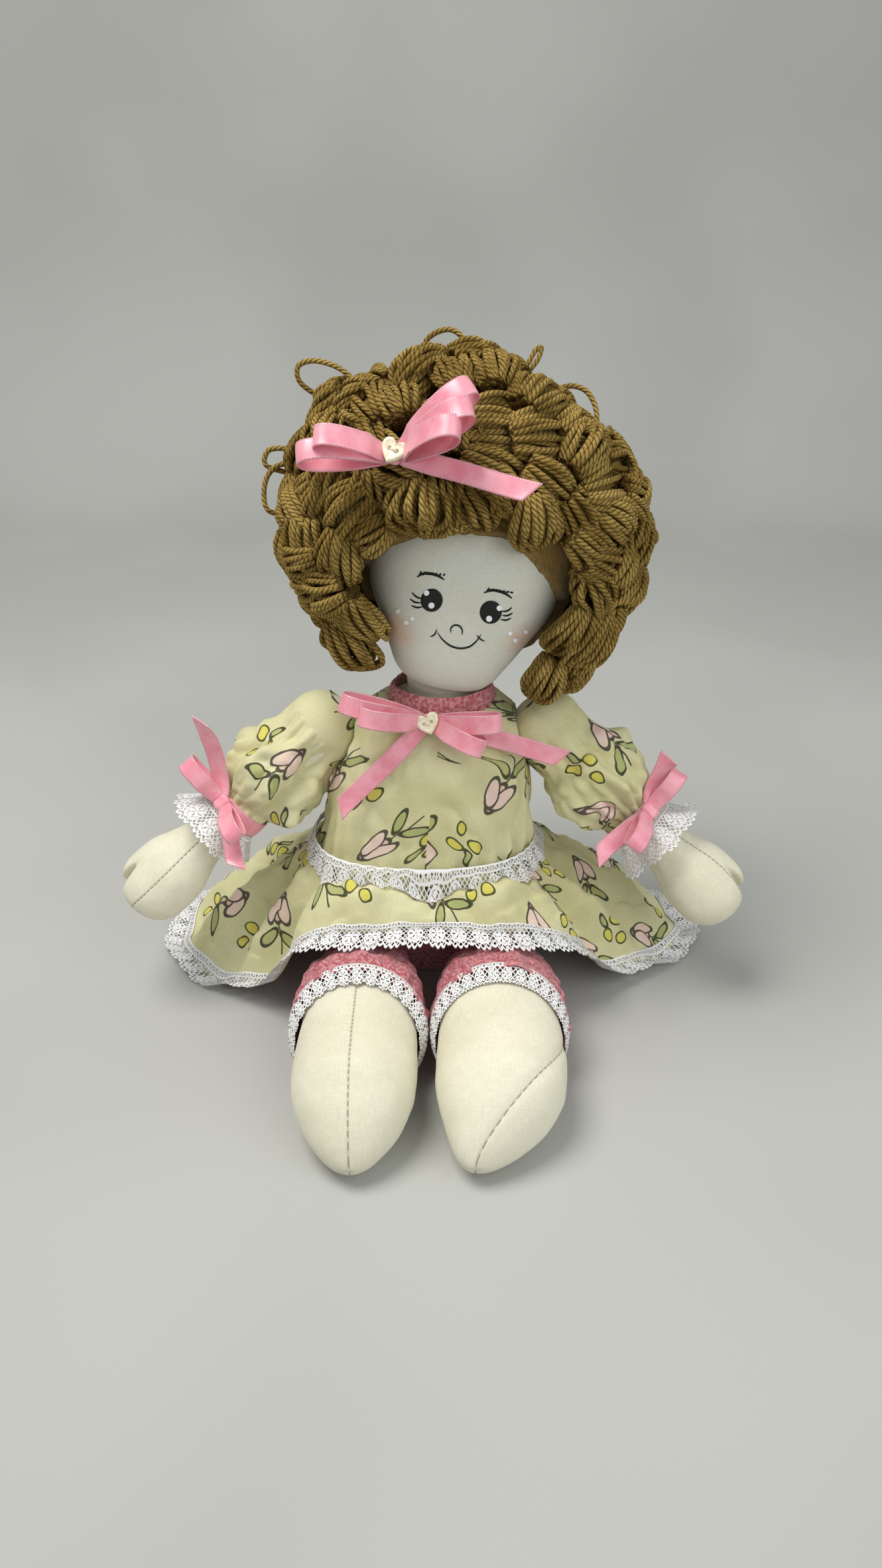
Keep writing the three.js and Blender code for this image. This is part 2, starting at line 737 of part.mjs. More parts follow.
function curlCentre(azimuth, elevation, seat) {
  const flat = Math.cos(elevation * degrees) * seat;
  return new THREE.Vector3(
    flat * Math.sin(azimuth * degrees) * hairHalf[0],
    -flat * Math.cos(azimuth * degrees) * hairHalf[1],
    seat * Math.sin(elevation * degrees) * hairHalf[2]);
}

// A lobed egg: the loops of one bundle make its ridges
function curlSolid([, azimuth, elevation, seat, size], grow) {
  const half = [curlWidth, curlDepth, curlLength].map((span) => span * size / 2 + grow);
  const rings = curlRowDegrees.map((row) => around(curlSides).map((angle) => {
    const lobe = Math.cos(row * degrees) * (1 + curlLobeShare * Math.cos(curlLobes * angle));
    return new THREE.Vector3(
      half[0] * lobe * Math.cos(angle),
      half[1] * lobe * Math.sin(angle),
      half[2] * Math.sin(row * degrees));
  }));
  const curl = loft(rings, new THREE.Vector3(0, 0, -half[2]), new THREE.Vector3(0, 0, half[2]));
  curl.rotateX(-elevation * degrees / 2);
  curl.rotateZ(azimuth * degrees);
  const centre = curlCentre(azimuth, elevation, seat);
  curl.translate(centre.x, centre.y, centre.z);
  curl.rotateY(hairLeanDegrees * degrees);
  return curl.translate(...hairMiddle);
}

// The bow presses the curls flat behind it
const hairBowPlace = hairMiddle.map((m, k) => m + hairBowPlaceShares[k] * hairHalf[k]);
const hairBow = bowGroup(hairBowPlace, hairBowNormal, headGroup);
hairBow.updateMatrix();
const bowPocket = new THREE.BoxGeometry(hairBowPocketWidth, hairBowPocketHeight, headDepth)
  .translate(0, 0, headDepth / 2 - knotDepth / 2 - seamGap)
  .applyMatrix4(hairBow.matrix);

curlPlaces.forEach((place, index) => {
  const earlier = curlPlaces.slice(0, index).map((other) => curlSolid(other, seamGap));
  const skull = headSolid(wigCapThickness + seamGap);
  const curl = cutBy(curlSolid(place, 0), [skull, bowPocket, ...earlier]);
  addMesh(`curl_${place[0]}`, curl, yarn, headGroup);
});

// Dress bodice with its armholes
const bodiceLow = waistHeight + seamGap;
const bodiceHeights = bodyHeightsBetween(bodiceLow, necklineHeight);
const bodice = shell(
  bodiceHeights.map((z) => bodyRing(z, seamGap + dressCloth)),
  bodiceHeights.map((z) => bodyRing(z, seamGap)));
addMesh('bodice', cutBy(bodice, shoulderSeats), dressPrint);

// Standing collar round the neck
function collarRings(inset) {
  const low = necklineHeight + seamGap;
  return [0, 0.5, 1].map((share) => around(bodySides).map((angle) => {
    const radius = collarRadius - inset - share * collarFlare;
    return new THREE.Vector3(
      neckFoot.x + radius * Math.cos(angle),
      neckFoot.y + radius * Math.sin(angle),
      low + share * collarHeight);
  }));
}
addMesh('collar', shell(collarRings(0), collarRings(dressCloth)), roseCotton);

// Skirt: from the waist seam to the hem, over the lap and down to the surface
const hemCurve = new THREE.CatmullRomCurve3(
  hemStationShares.map(([across, back, height]) => new THREE.Vector3(
    across * skirtReach, back * skirtBackReach, height * lapHeight)),
  true, 'centripetal');

function hemPoint(turnShare) {
  const place = hemCurve.getPoint(turnShare - Math.floor(turnShare));
  const wave = (1 + Math.cos(skirtFolds * turnShare * fullTurn)) / 2;
  const lift = skirtHemLift * wave * (1 - place.z / lapHeight);
  return place.setZ(Math.max(skirtHemRest, place.z) + lift);
}

function skirtMiddlePoint(turnShare, share) {
  const angle = front - turnShare * fullTurn;
  const grow = seamGap + dressCloth / 2;
  const top = bodyPoint(angle, waistHeight - seamGap, grow);
  const hem = hemPoint(turnShare);
  const out = new THREE.Vector3(Math.cos(angle), Math.sin(angle), 0);
  const fold = skirtFoldDepth * share * Math.cos(skirtFolds * turnShare * fullTurn);
  const point = top.lerp(hem, share).addScaledVector(out, fold * Math.sin(Math.PI * share));
  point.z += skirtPuff * Math.sin(Math.PI * share);
  return point;
}

function skirtPoint(turnShare, share, lift) {
  const stepShare = 0.01;
  const before = Math.max(0, share - stepShare);
  const after = Math.min(1, share + stepShare);
  const down = skirtMiddlePoint(turnShare, after).sub(skirtMiddlePoint(turnShare, before));
  const along = skirtMiddlePoint(turnShare + stepShare / 4, share)
    .sub(skirtMiddlePoint(turnShare - stepShare / 4, share));
  const normal = along.cross(down).normalize();
  const shift = normal.z < 0 ? -lift : lift;
  return skirtMiddlePoint(turnShare, share).addScaledVector(normal, shift);
}

function skirtRings(lift) {
  return Array.from({ length: skirtRows + 1 }, (_, row) =>
    Array.from({ length: skirtColumns }, (_unused, column) => {
      const point = skirtPoint(column / skirtColumns, row / skirtRows, lift);
      return row === 0 ? point.setZ(waistHeight - seamGap) : point;
    }));
}
const skirtTop = skirtRings(dressCloth / 2);
const skirtUnder = skirtRings(-dressCloth / 2);
addMesh('skirt', shell(skirtTop, skirtUnder), dressPrint);

// Scalloped lace on the skirt's hem
function hemLace() {
  const columns = 2 * hemScallops;
  const edges = (lift) => [0, 1].map((share) => Array.from({ length: columns }, (_, column) => {
    const turnShare = column / columns;
    const angle = front - turnShare * fullTurn;
    const out = new THREE.Vector3(Math.cos(angle), Math.sin(angle), 0);
    const scallop = (column % 2 ? 0 : -hemScallopDepth) * share;
    const hem = hemPoint(turnShare);
    const point = hem.addScaledVector(out, dressCloth + share * hemLaceWidth + scallop);
    point.z = Math.max(laceCloth, point.z - share * hemLaceDrop) + lift;
    return point;
  }));
  return shell(edges(laceCloth / 2), edges(-laceCloth / 2));
}
addMesh('skirt_lace', hemLace(), whiteLace);

// Lace over the waist seam
function waistLace() {
  const edges = (lift) => {
    const turns = Array.from({ length: skirtColumns }, (_, column) => column / skirtColumns);
    const angleOf = (turnShare) => front - turnShare * fullTurn;
    const grow = 2 * seamGap + dressCloth + lift;
    const top = turns.map((t) => bodyPoint(angleOf(t), waistHeight + waistLaceRise, grow));
    const seam = turns.map((t) => bodyPoint(angleOf(t), waistHeight + dressCloth, grow));
    const low = turns.map((t, k) => skirtPoint(
      t, (k % 2 ? 1 : waistLaceDipShare) / skirtRows, seamGap + dressCloth / 2 + lift));
    return [top, seam, low];
  };
  return shell(edges(laceCloth), edges(0));
}
addMesh('waist_lace', waistLace(), whiteLace);

// Bloomers' seat: a cloth bowl round the bottom of the body, flat where the doll sits
const seatLow = bodyRowShares[0][0] * bodyHeight;
const seatHeights = bodyHeightsBetween(seatLow, seatClothTopShare * bodyHeight);
const seatInner = seatHeights.map((z) => bodyRing(z, seamGap));
const seatOuter = seatHeights.map((z) => bodyRing(z, seamGap + bloomerCloth));
const seatFloor = bodyRing(seatLow, seamGap).map((p) => p.setZ(0));
const seatInside = bodyRing(seatLow, seamGap).map((p) => p.setZ(seatLow - seamGap));
addMesh('bloomers_seat', loft([
  seatFloor, ...seatOuter, ...[...seatInner].reverse(), seatInside]), roseCotton);

// Legs, in groups at the hips with their own Y forward reversed into -Y
const hipReach = hipThickness / 2 + bloomerCloth;
function seatFront(x) {
  const [, width, depth, , sway] = bodySection(hipHeight);
  const clothOut = seamGap + bloomerCloth;
  const acrossShare = Math.abs(x - bodyMiddleX) / (width * bodyWidth / 2 + clothOut);
  const depthShare = (1 - acrossShare ** bodySquareness) ** (1 / bodySquareness);
  return sway * bodySwayDepth - depthShare * (depth * bodyDepth / 2 + clothOut);
}
const legGroups = Object.fromEntries([['right', -1], ['left', 1]].map(([side, sign]) => {
  const hipX = hipMiddleX + sign * hipSpacing / 2;
  const innerX = hipX - sign * hipWidthShares[0] * legWidths[side] / 2;
  const hipY = seatFront(innerX) - hipReach - hipGap;
  const group = new THREE.Group();
  group.position.set(hipX, hipY, hipHeight);
  doll.add(group);
  return [side, group];
}));

function legRing(distance, halfWidth, halfDepth, shiftX, shiftZ, sides, slant = 0) {
  return around(sides).map((angle) => new THREE.Vector3(
    shiftX + halfWidth * Math.cos(angle),
    -distance + slant * Math.sin(angle),
    shiftZ + halfDepth * Math.sin(angle)));
}

function legSolid(side) {
  const turn = toeTurns[side];
  const legWidth = legWidths[side];
  const root = hipRowDegrees.map((row, k) => {
    const radius = k === 0 ? hipReach : hipThickness / 2;
    return legRing(
      radius * Math.sin(row * degrees),
      hipWidthShares[k] * legWidth / 2,
      radius * Math.cos(row * degrees),
      0, 0, legSides);
  });
  const limb = legRowShares.map(([distance, width, depth, drop]) => legRing(
    distance * legLength, width * legWidth / 2, depth * legDepth / 2,
    turn * drop ** toeTurnCurve, -drop * toeDrop, legSides));
  return loft(
    [...root, ...limb],
    new THREE.Vector3(0, hipReach, 0),
    new THREE.Vector3(turn, -legLength, -toeDrop));
}

// Bloomer legs: hip to slanted hem, longer underneath
const hemMiddle = (bloomerTopLength + bloomerUnderLength) / 2;
const hemSlant = (bloomerUnderLength - bloomerTopLength) / 2;
function bloomerRings(inset) {
  const grow = seamGap + bloomerCloth - inset;
  const hipHalf = hipThickness / 2 + grow;
  const root = hipRowDegrees.slice(1).map((row, k) => legRing(
    hipHalf * Math.sin(row * degrees),
    hipWidthShares[k + 1] * legWidths.left / 2 + grow,
    hipHalf * Math.cos(row * degrees),
    0, 0, legSides));
  const halfWidth = bloomerLegWidth / 2 - inset;
  const halfDepth = bloomerLegDepth / 2 - inset;
  const folded = (ring) => ring.map((p, k) => {
    const fold = 1 - (k % (legSides / bloomerGathers) ? 0 : bloomerFoldDepth / halfWidth);
    return new THREE.Vector3(p.x * fold, p.y, p.z * fold);
  });
  const limb = bloomerRowShares.map(([distance, width, depth, slant]) => folded(legRing(
    distance * hemMiddle, width * halfWidth, depth * halfDepth, 0, 0, legSides, slant * hemSlant)));
  return [...root, ...limb];
}

function bloomerLace() {
  const edges = (inset) => [0, 1].map((share) => legRing(
    hemMiddle + seamGap + share * bloomerLaceWidth,
    bloomerLegWidth / 2 - inset, bloomerLegDepth / 2 - inset, 0, 0, legSides, hemSlant));
  return shell(edges(0), edges(laceCloth));
}

for (const [side, group] of Object.entries(legGroups)) {
  addMesh(`${side}_leg`, legSolid(side), muslin, group);
  addMesh(`${side}_bloomer_leg`, shell(bloomerRings(0), bloomerRings(bloomerCloth)), roseCotton, group);
  addMesh(`${side}_bloomer_lace`, bloomerLace(), whiteLace, group);
}

// Sleeved arms, with a ribbon tied round each cuff and its bow on the upper side
for (const [side, group] of Object.entries(armGroups)) {
  const sleeveEnd = sleeveLength - sleevePushes[side];
  const sleeve = shell(sleeveRings(sleeveEnd, 0), sleeveRings(sleeveEnd, dressCloth));
  addMesh(`${side}_arm`, makeArm(), muslin, group);
  addMesh(`${side}_sleeve`, sleeve, dressPrint, group);
  addMesh(`${side}_cuff_lace`, makeCuffLace(sleeveEnd), whiteLace, group);

  const bandMiddle = sleeveEnd - ribbonWidth / 2 - seamGap;
  const bandRadius = sleeveCuffRadius + seamGap + ribbonCloth;
  const bandRings = (inset) => [-1, 1].map((end) => ovalRing(
    bandMiddle + end * ribbonWidth / 2, bandRadius - inset, bandRadius - inset, ballSides));
  addMesh(`${side}_cuff_ribbon`, shell(bandRings(0), bandRings(ribbonCloth)), satin, group);
  const bow = new THREE.Group();
  bow.position.set(0, bandRadius + seamGap + knotDepth / 2, bandMiddle);
  bow.rotation.x = -Math.PI / 2;
  group.add(bow);
  const loops = cuffLoopShares[side].map((loop) => ribbonLoop(loop, cuffLoopLength));
  const tails = cuffTailShares[side].map((tail) => ribbonTail(tail, cuffTailLength));
  addMesh(`${side}_cuff_bow`, joined([makeKnot(0), ...loops, ...tails]), satin, bow);
}

function addButton(name, turn, group) {
  const button = makeButton().rotateZ(turn * degrees);
  button.translate(0, 0, knotDepth / 2 + seamGap);
  addMesh(name, button, buttonCream, group);
}

// A bow's loops and tails with their knot, each cut clear of it
function addBow(name, loopShares, loopLength, tailShares, tailLength, group) {
  addMesh(`${name}_knot`, makeKnot(0), satin, group);
  for (const [side, shares] of Object.entries(loopShares)) {
    const loops = clearOfKnot(shares.map((loop) => ribbonLoop(loop, loopLength)));
    addMesh(`${name}_${side}_loops`, loops, satin, group);
  }
  for (const [tailName, tail] of Object.entries(tailShares)) {
    addMesh(`${name}_${tailName}`, clearOfKnot([ribbonTail(tail, tailLength)]), satin, group);
  }
}

const neckBowPlace = [
  neckFoot.x + neckBowSideWidth,
  neckFoot.y - collarRadius - seamGap - neckBowTiltRoom - knotDepth / 2,
  necklineHeight - neckBowDrop,
];
const neckBow = bowGroup(neckBowPlace, neckBowNormal, doll);
addBow('neck_bow', neckLoopShares, neckLoopLength, neckTailShares, neckTailLength, neckBow);
addButton('neck_button', neckButtonTurn, neckBow);
addBow('hair_bow', hairLoopShares, hairLoopLength, hairTailShares, hairTailLength, hairBow);
addButton('hair_button', hairButtonTurn, hairBow);

export default doll;
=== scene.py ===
from math import pi, radians

import bpy
import numpy as np
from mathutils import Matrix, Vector


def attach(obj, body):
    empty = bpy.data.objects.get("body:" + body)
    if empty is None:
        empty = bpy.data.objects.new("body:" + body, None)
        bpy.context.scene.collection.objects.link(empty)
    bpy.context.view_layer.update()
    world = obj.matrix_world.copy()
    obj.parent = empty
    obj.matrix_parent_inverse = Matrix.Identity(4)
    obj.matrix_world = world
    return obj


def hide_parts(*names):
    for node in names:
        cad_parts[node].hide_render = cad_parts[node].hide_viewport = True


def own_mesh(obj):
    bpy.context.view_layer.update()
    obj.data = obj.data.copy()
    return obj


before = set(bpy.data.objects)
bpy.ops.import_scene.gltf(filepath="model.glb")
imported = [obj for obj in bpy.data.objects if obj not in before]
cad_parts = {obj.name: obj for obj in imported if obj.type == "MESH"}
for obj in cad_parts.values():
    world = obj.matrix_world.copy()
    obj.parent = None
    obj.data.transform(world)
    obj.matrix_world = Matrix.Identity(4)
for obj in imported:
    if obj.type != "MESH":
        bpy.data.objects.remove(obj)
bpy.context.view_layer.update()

MM = 0.001
FRONT = -pi / 2
SIDES = ("right", "left")
SEAM, CLOTH = 0.4, 1.8
LACE_REPEAT = 0.78
X, Y, Z = np.eye(3)

# The photograph's camera: its place, the way it looks, its up, its focal length and middle in pixels
TILT = radians(30)
CAMERA = np.array([3.0, -500.0, 409.0])
AHEAD = np.array([0, np.cos(TILT), -np.sin(TILT)])
UPWARD = np.array([0, np.sin(TILT), np.cos(TILT)])
FOCAL, MIDDLE_X, MIDDLE_Y = 1650, 665, 1182


def add_camera():
    """The view of the photograph: 25 mm lens, half a metre in front, 30 degrees down."""
    data = bpy.data.cameras.new("photo_camera")
    data.lens = 25.13
    camera = bpy.data.objects.new("photo_camera", data)
    camera.location = CAMERA * MM
    camera.rotation_euler = (pi / 2 - TILT, 0, 0)
    bpy.context.collection.objects.link(camera)
    bpy.context.scene.camera = camera


def add_lamp(name, place, target, size, watts, light):
    data = bpy.data.lights.new(name, "AREA")
    data.shape, data.size, data.energy, data.color = "DISK", size, watts, light
    lamp = bpy.data.objects.new(name, data)
    lamp.location = place
    lamp.rotation_euler = Vector(np.subtract(target, place)).to_track_quat("-Z", "Y").to_euler()
    bpy.context.collection.objects.link(lamp)


# Node graphs

def colour(code):
    """A written sRGB colour as the linear colour that a shader takes."""
    values = [int(code[i:i + 2], 16) / 255 for i in (1, 3, 5)]
    return (*[v / 12.92 if v <= 0.04045 else ((v + 0.055) / 1.055) ** 2.4 for v in values], 1.0)


class Value:
    """A socket that stands in a formula: each operator adds one math node to its graph."""

    def __init__(self, graph, socket):
        self.graph, self.socket = graph, socket

    def __add__(self, other):
        return self.graph.math("ADD", self, other)

    def __sub__(self, other):
        return self.graph.math("SUBTRACT", self, other)

    def __rsub__(self, other):
        return self.graph.math("SUBTRACT", other, self)

    def __mul__(self, other):
        return self.graph.math("MULTIPLY", self, other)

    def __truediv__(self, other):
        return self.graph.math("DIVIDE", self, other)

    def __abs__(self):
        return self.graph.math("ABSOLUTE", self)

    def sine(self):
        return self.graph.math("SINE", self)

    def fract(self):
        return self.graph.math("FRACT", self)

    def off_beat(self, period):
        """The distance from the middle of each period, in periods."""
        return abs((self / period).fract() - 0.5)

    def step(self, low, high, to_low=0.0, to_high=1.0):
        """A smooth step as the value goes from low to high."""
        node = self.graph.node("ShaderNodeMapRange", interpolation_type="SMOOTHSTEP")
        return self.graph.result(node, self, low, high, to_low, to_high)

    def fall(self, low, high):
        return self.step(low, high, 1.0, 0.0)


class Graph:
    """A node tree in which every call adds one node and returns its output."""

    def __init__(self, tree):
        self.tree = tree

    def node(self, kind, **settings):
        node = self.tree.nodes.new(kind)
        for name, value in settings.items():
            setattr(node, name, value)
        return node

    def put(self, socket, value):
        if isinstance(value, Value):
            self.tree.links.new(value.socket, socket)
        else:
            socket.default_value = colour(value) if isinstance(value, str) else value

    def result(self, node, *values, output=0):
        for socket, value in zip(node.inputs, values):
            self.put(socket, value)
        return Value(self, node.outputs[output])

    def math(self, operation, *values):
        return self.result(self.node("ShaderNodeMath", operation=operation), *values)

    def highest(self, *values):
        top = values[0]
        for value in values[1:]:
            top = self.math("MAXIMUM", top, value)
        return top

    def vector(self, operation, *values):
        output = "Value" if operation == "LENGTH" else "Vector"
        return self.result(self.node("ShaderNodeVectorMath", operation=operation), *values, output=output)

    def scaled(self, vector, factors):
        return self.vector("MULTIPLY", vector, factors)

    def turned(self, vector, angle):
        node = self.node("ShaderNodeVectorRotate", rotation_type="Z_AXIS")
        self.put(node.inputs["Angle"], angle)
        return self.result(node, vector)

    def split(self, vector):
        node = self.node("ShaderNodeSeparateXYZ")
        self.put(node.inputs[0], vector)
        return [Value(self, socket) for socket in node.outputs]

    def join(self, x, y, z=0.0):
        return self.result(self.node("ShaderNodeCombineXYZ"), x, y, z)

    def noise(self, vector, scale, detail=3.0, roughness=0.55):
        node = self.node("ShaderNodeTexNoise")
        for name, value in (("Vector", vector), ("Scale", scale), ("Detail", detail), ("Roughness", roughness)):
            self.put(node.inputs[name], value)
        return Value(self, node.outputs[0])

    def mix(self, factor, first, second, blend="MIX"):
        node = self.node("ShaderNodeMix", data_type="RGBA", blend_type=blend)
        for number, value in ((0, factor), (6, first), (7, second)):
            self.put(node.inputs[number], value)
        return Value(self, node.outputs[2])

    def clouds(self, value, low, high, dark, light):
        return self.mix(value.step(low, high), dark, light)

    def uv(self, name="cloth"):
        return Value(self, self.node("ShaderNodeUVMap", uv_map=name).outputs[0])

    def place(self):
        return Value(self, self.node("ShaderNodeTexCoord").outputs["Object"])

    def group(self, tree, **values):
        node = self.node("ShaderNodeGroup", node_tree=tree)
        for name, value in values.items():
            self.put(node.inputs[name], value)
        return {socket.name: Value(self, socket) for socket in node.outputs}


class Finish(Graph):
    """A material with its graph and the inputs of its Principled shader."""

    def __init__(self, name, base, roughness, sheen=0.0, specular=0.3):
        self.material = bpy.data.materials.new(name)
        self.material.use_nodes = True
        super().__init__(self.material.node_tree)
        self.tree.nodes.clear()
        shader = self.node("ShaderNodeBsdfPrincipled")
        self.put(self.node("ShaderNodeOutputMaterial").inputs[0], Value(self, shader.outputs[0]))
        self.inputs = shader.inputs
        self.put(self.inputs["Base Color"], base)
        self.put(self.inputs["Roughness"], roughness)
        self.put(self.inputs["Sheen Weight"], sheen)
        self.put(self.inputs["Sheen Roughness"], 0.5)
        self.put(self.inputs["Specular IOR Level"], specular)

    def done(self, tone=None, height=None, distance=0.0, strength=1.0):
        """Puts in the colour and the bump height, and returns the material."""
        if tone:
            self.put(self.inputs["Base Color"], tone)
        if height:
            node = self.node("ShaderNodeBump")
            self.put(node.inputs["Strength"], strength)
            self.put(node.inputs["Distance"], distance)
            self.put(node.inputs["Height"], height)
            self.put(self.inputs["Normal"], Value(self, node.outputs[0]))
        return self.material

    def woven(self, tone, thread, distance, relief=None):
        """Finishes a cotton: the weave shades its tone, and relief is added to the weave's height."""
        weave = self.group(WEAVE, Vector=self.uv(), Thread=thread)
        shade, height = weave["Shade"], weave["Height"]
        tone = self.mix(1.0, tone, self.join(shade, shade, shade), "MULTIPLY")
        return self.done(tone, relief + height if relief else height, distance, 0.8)


def new_group(name, inputs, outputs):
    tree = bpy.data.node_groups.new(name, "ShaderNodeTree")
    for way, sockets in (("INPUT", inputs), ("OUTPUT", outputs)):
        for socket, kind in sockets.items():
            tree.interface.new_socket(socket, in_out=way, socket_type=f"NodeSocket{kind}")
    graph = Graph(tree)
    given = graph.node("NodeGroupInput").outputs
    return graph, {n: Value(graph, given[n]) for n in inputs}, graph.node("NodeGroupOutput").inputs


def weave_group():
    """Plain weave: over and under threads as a product of two sines, with uneven yarn."""
    g, given, out = new_group(
        "plain_weave", {"Vector": "Vector", "Thread": "Float"}, {"Height": "Float", "Shade": "Float"})
    x, y, _ = g.split(given["Vector"])
    wobble = g.noise(given["Vector"], 180.0, 2.0)
    warp, weft = (((way / given["Thread"] + wobble) * pi).sine() for way in (x, y))
    slubs, cross_slubs = (g.noise(g.scaled(given["Vector"], stretch), 1.0, 2.0)
                          for stretch in ((2200.0, 160.0, 1.0), (160.0, 2200.0, 1.0)))
    uneven = slubs + cross_slubs
    g.put(out["Height"], warp * weft * 0.35 + uneven)
    g.put(out["Shade"], uneven.step(0.7, 1.3, 0.93, 1.05))
    return g.tree


def petal_group():
    """One leaf or petal: an ellipse with its centre, half sizes and turn, as fill and drawn line."""
    g, given, out = new_group(
        "drawn_petal", {"Vector": "Vector", "Centre": "Vector", "Half": "Vector", "Turn": "Float",
                        "Line": "Float"}, {"Fill": "Float", "Drawn": "Float"})
    local = g.turned(g.vector("SUBTRACT", given["Vector"], given["Centre"]), given["Turn"])
    reach = g.vector("LENGTH", g.vector("DIVIDE", local, given["Half"]))
    away = (reach - 1.0) * g.split(given["Half"])[0]
    g.put(out["Fill"], away.fall(0.0, 0.0002))
    g.put(out["Drawn"], (abs(away) / given["Line"]).fall(0.6, 1.0))
    return g.tree


def lattice_group():
    """A half-drop repeat: every second column drops by half a cell, and each cell turns a little."""
    g, given, out = new_group(
        "half_drop", {"Vector": "Vector", "Cell": "Vector", "Start": "Vector"}, {"Local": "Vector"})
    x, y, _ = g.split(g.vector("DIVIDE", g.vector("ADD", given["Vector"], given["Start"]), given["Cell"]))
    column = g.math("FLOOR", x)
    dropped = g.math("MODULO", abs(column), 2.0) * 0.5 + y
    pick = g.node("ShaderNodeTexWhiteNoise", noise_dimensions="2D")
    g.put(pick.inputs["Vector"], g.join(column, g.math("FLOOR", dropped)))
    inside = g.vector("MULTIPLY", g.join(x.fract() - 0.5, dropped.fract() - 0.5), given["Cell"])
    g.put(out["Local"], g.turned(inside, (Value(g, pick.outputs[0]) - 0.5) * 1.3))
    return g.tree


WEAVE, PETAL, LATTICE = weave_group(), petal_group(), lattice_group()


# Materials

def cotton(name, base, light, dark, thread, blotch, seam=False):
    """Cotton: weave, soft colour clouds and, on a limb, a hand-sewn seam along its own map, with painted shade
    in its groove.
    """
    g = Finish(name, base, 0.9, sheen=0.15, specular=0.15)
    tone = g.clouds(g.noise(g.place(), blotch, 4.0, 0.6), 0.4, 0.62, dark, light)
    if not seam:
        return g.woven(tone, thread, 0.00014)
    off, along, _ = g.split(g.uv("seam"))
    near = abs(off)
    sewn = near.fall(0.00022, 0.00042) * along.off_beat(0.0027).fall(0.26, 0.36)
    # Painted shade: the cloth darkens towards #a09c86 in the seam's groove; the stitches below are the thread's
    # own colour.
    tone = g.mix(near.fall(0.0, 0.0008) * 0.3, tone, "#a09c86")
    tone = g.mix(sewn * 0.75, tone, "#857c70")
    return g.woven(tone, thread, 0.00014, near.step(0.0, 0.0011) * 3.0)


def face_cotton():
    """The head's cotton, greyer and darker than the limbs' cotton as painted shade from the hair, with peach
    powder on the cheeks.
    """
    g = Finish("face_cotton", "#e6e4d5", 0.9, sheen=0.15, specular=0.15)
    place = g.place()
    # Painted shade: these greyer, darker tones of the cotton stand for the hair's shade on the face.
    tone = g.clouds(g.noise(place, 18.0, 2.0), 0.4, 0.62, "#dad9cb", "#dfded0")
    for cheek in from_head(on_face([(597, 950), (790, 962)])) * MM:
        away = g.vector("LENGTH", g.scaled(g.vector("SUBTRACT", place, tuple(cheek)), (1.0, 0.6, 1.2)))
        powder = away.fall(0.001, 0.0155) * g.noise(place, 330.0, 4.0, 0.7).step(0.3, 0.75, 0.35, 0.8)
        tone = g.mix(powder, tone, "#e2ab90")
    return g.woven(tone, 0.00042, 0.00012)


# The print's leaves and petals: centre, half sizes, turn and colour, for a tulip and a bud sprig
GREEN, PINK, BLUSH, YELLOW = "#aab06e", "#e7c3b4", "#efd2c5", "#d9cf52"
TULIP = (
    ((-0.0042, -0.0072), (0.0019, 0.0052), 0.75, GREEN), ((0.0044, -0.0056), (0.0018, 0.0048), -0.8, GREEN),
    ((0.0, 0.0062), (0.0026, 0.0062), 0.0, PINK), ((-0.0024, 0.0050), (0.0025, 0.0058), 0.32, BLUSH),
    ((0.0024, 0.0050), (0.0025, 0.0058), -0.32, BLUSH))
BUDS = (
    ((-0.0035, 0.0030), (0.0024, 0.0030), 0.5, YELLOW), ((0.0036, 0.0022), (0.0022, 0.0028), -0.6, YELLOW),
    ((0.0003, -0.0044), (0.0021, 0.0027), 0.1, YELLOW), ((0.0006, 0.0078), (0.0013, 0.0032), -0.2, GREEN))


def print_cotton():
    """The dress cotton: pale sage with a half-drop print of drawn tulips and small yellow buds."""
    g = Finish("tulip_print", "#cfcca9", 0.88, sheen=0.15, specular=0.15)
    tone = g.clouds(g.noise(g.place(), 24.0, 2.0), 0.4, 0.62, "#d3cd9c", "#dcd7ab")
    flat = g.scaled(g.uv(), (0.72, 0.72, 1.0))
    tulip_at, buds_at = (
        g.group(LATTICE, Vector=flat, Cell=(0.036, 0.041, 1.0), Start=(start, 0.014, 0.0))["Local"]
        for start in (0.009, 0.027))
    x, y, _ = g.split(tulip_at)
    stem = abs(x - (y * 260.0).sine() * 0.0007)
    ink = stem.fall(0.00025, 0.00045) * (y.step(-0.0125, -0.012) * y.fall(-0.0005, 0.0))
    for at, petals in ((tulip_at, TULIP), (buds_at, BUDS)):
        for centre, half, turn, fill in petals:
            petal = g.group(PETAL, Vector=at, Centre=(*centre, 0.0), Half=(*half, 1.0), Turn=turn, Line=0.00042)
            tone = g.mix(petal["Fill"] * 0.85, tone, fill)
            ink = g.highest(ink * (1.0 - petal["Fill"]), petal["Drawn"])
    return g.woven(g.mix(ink * 0.9, tone, "#2b2d22"), 0.0004, 0.00011)


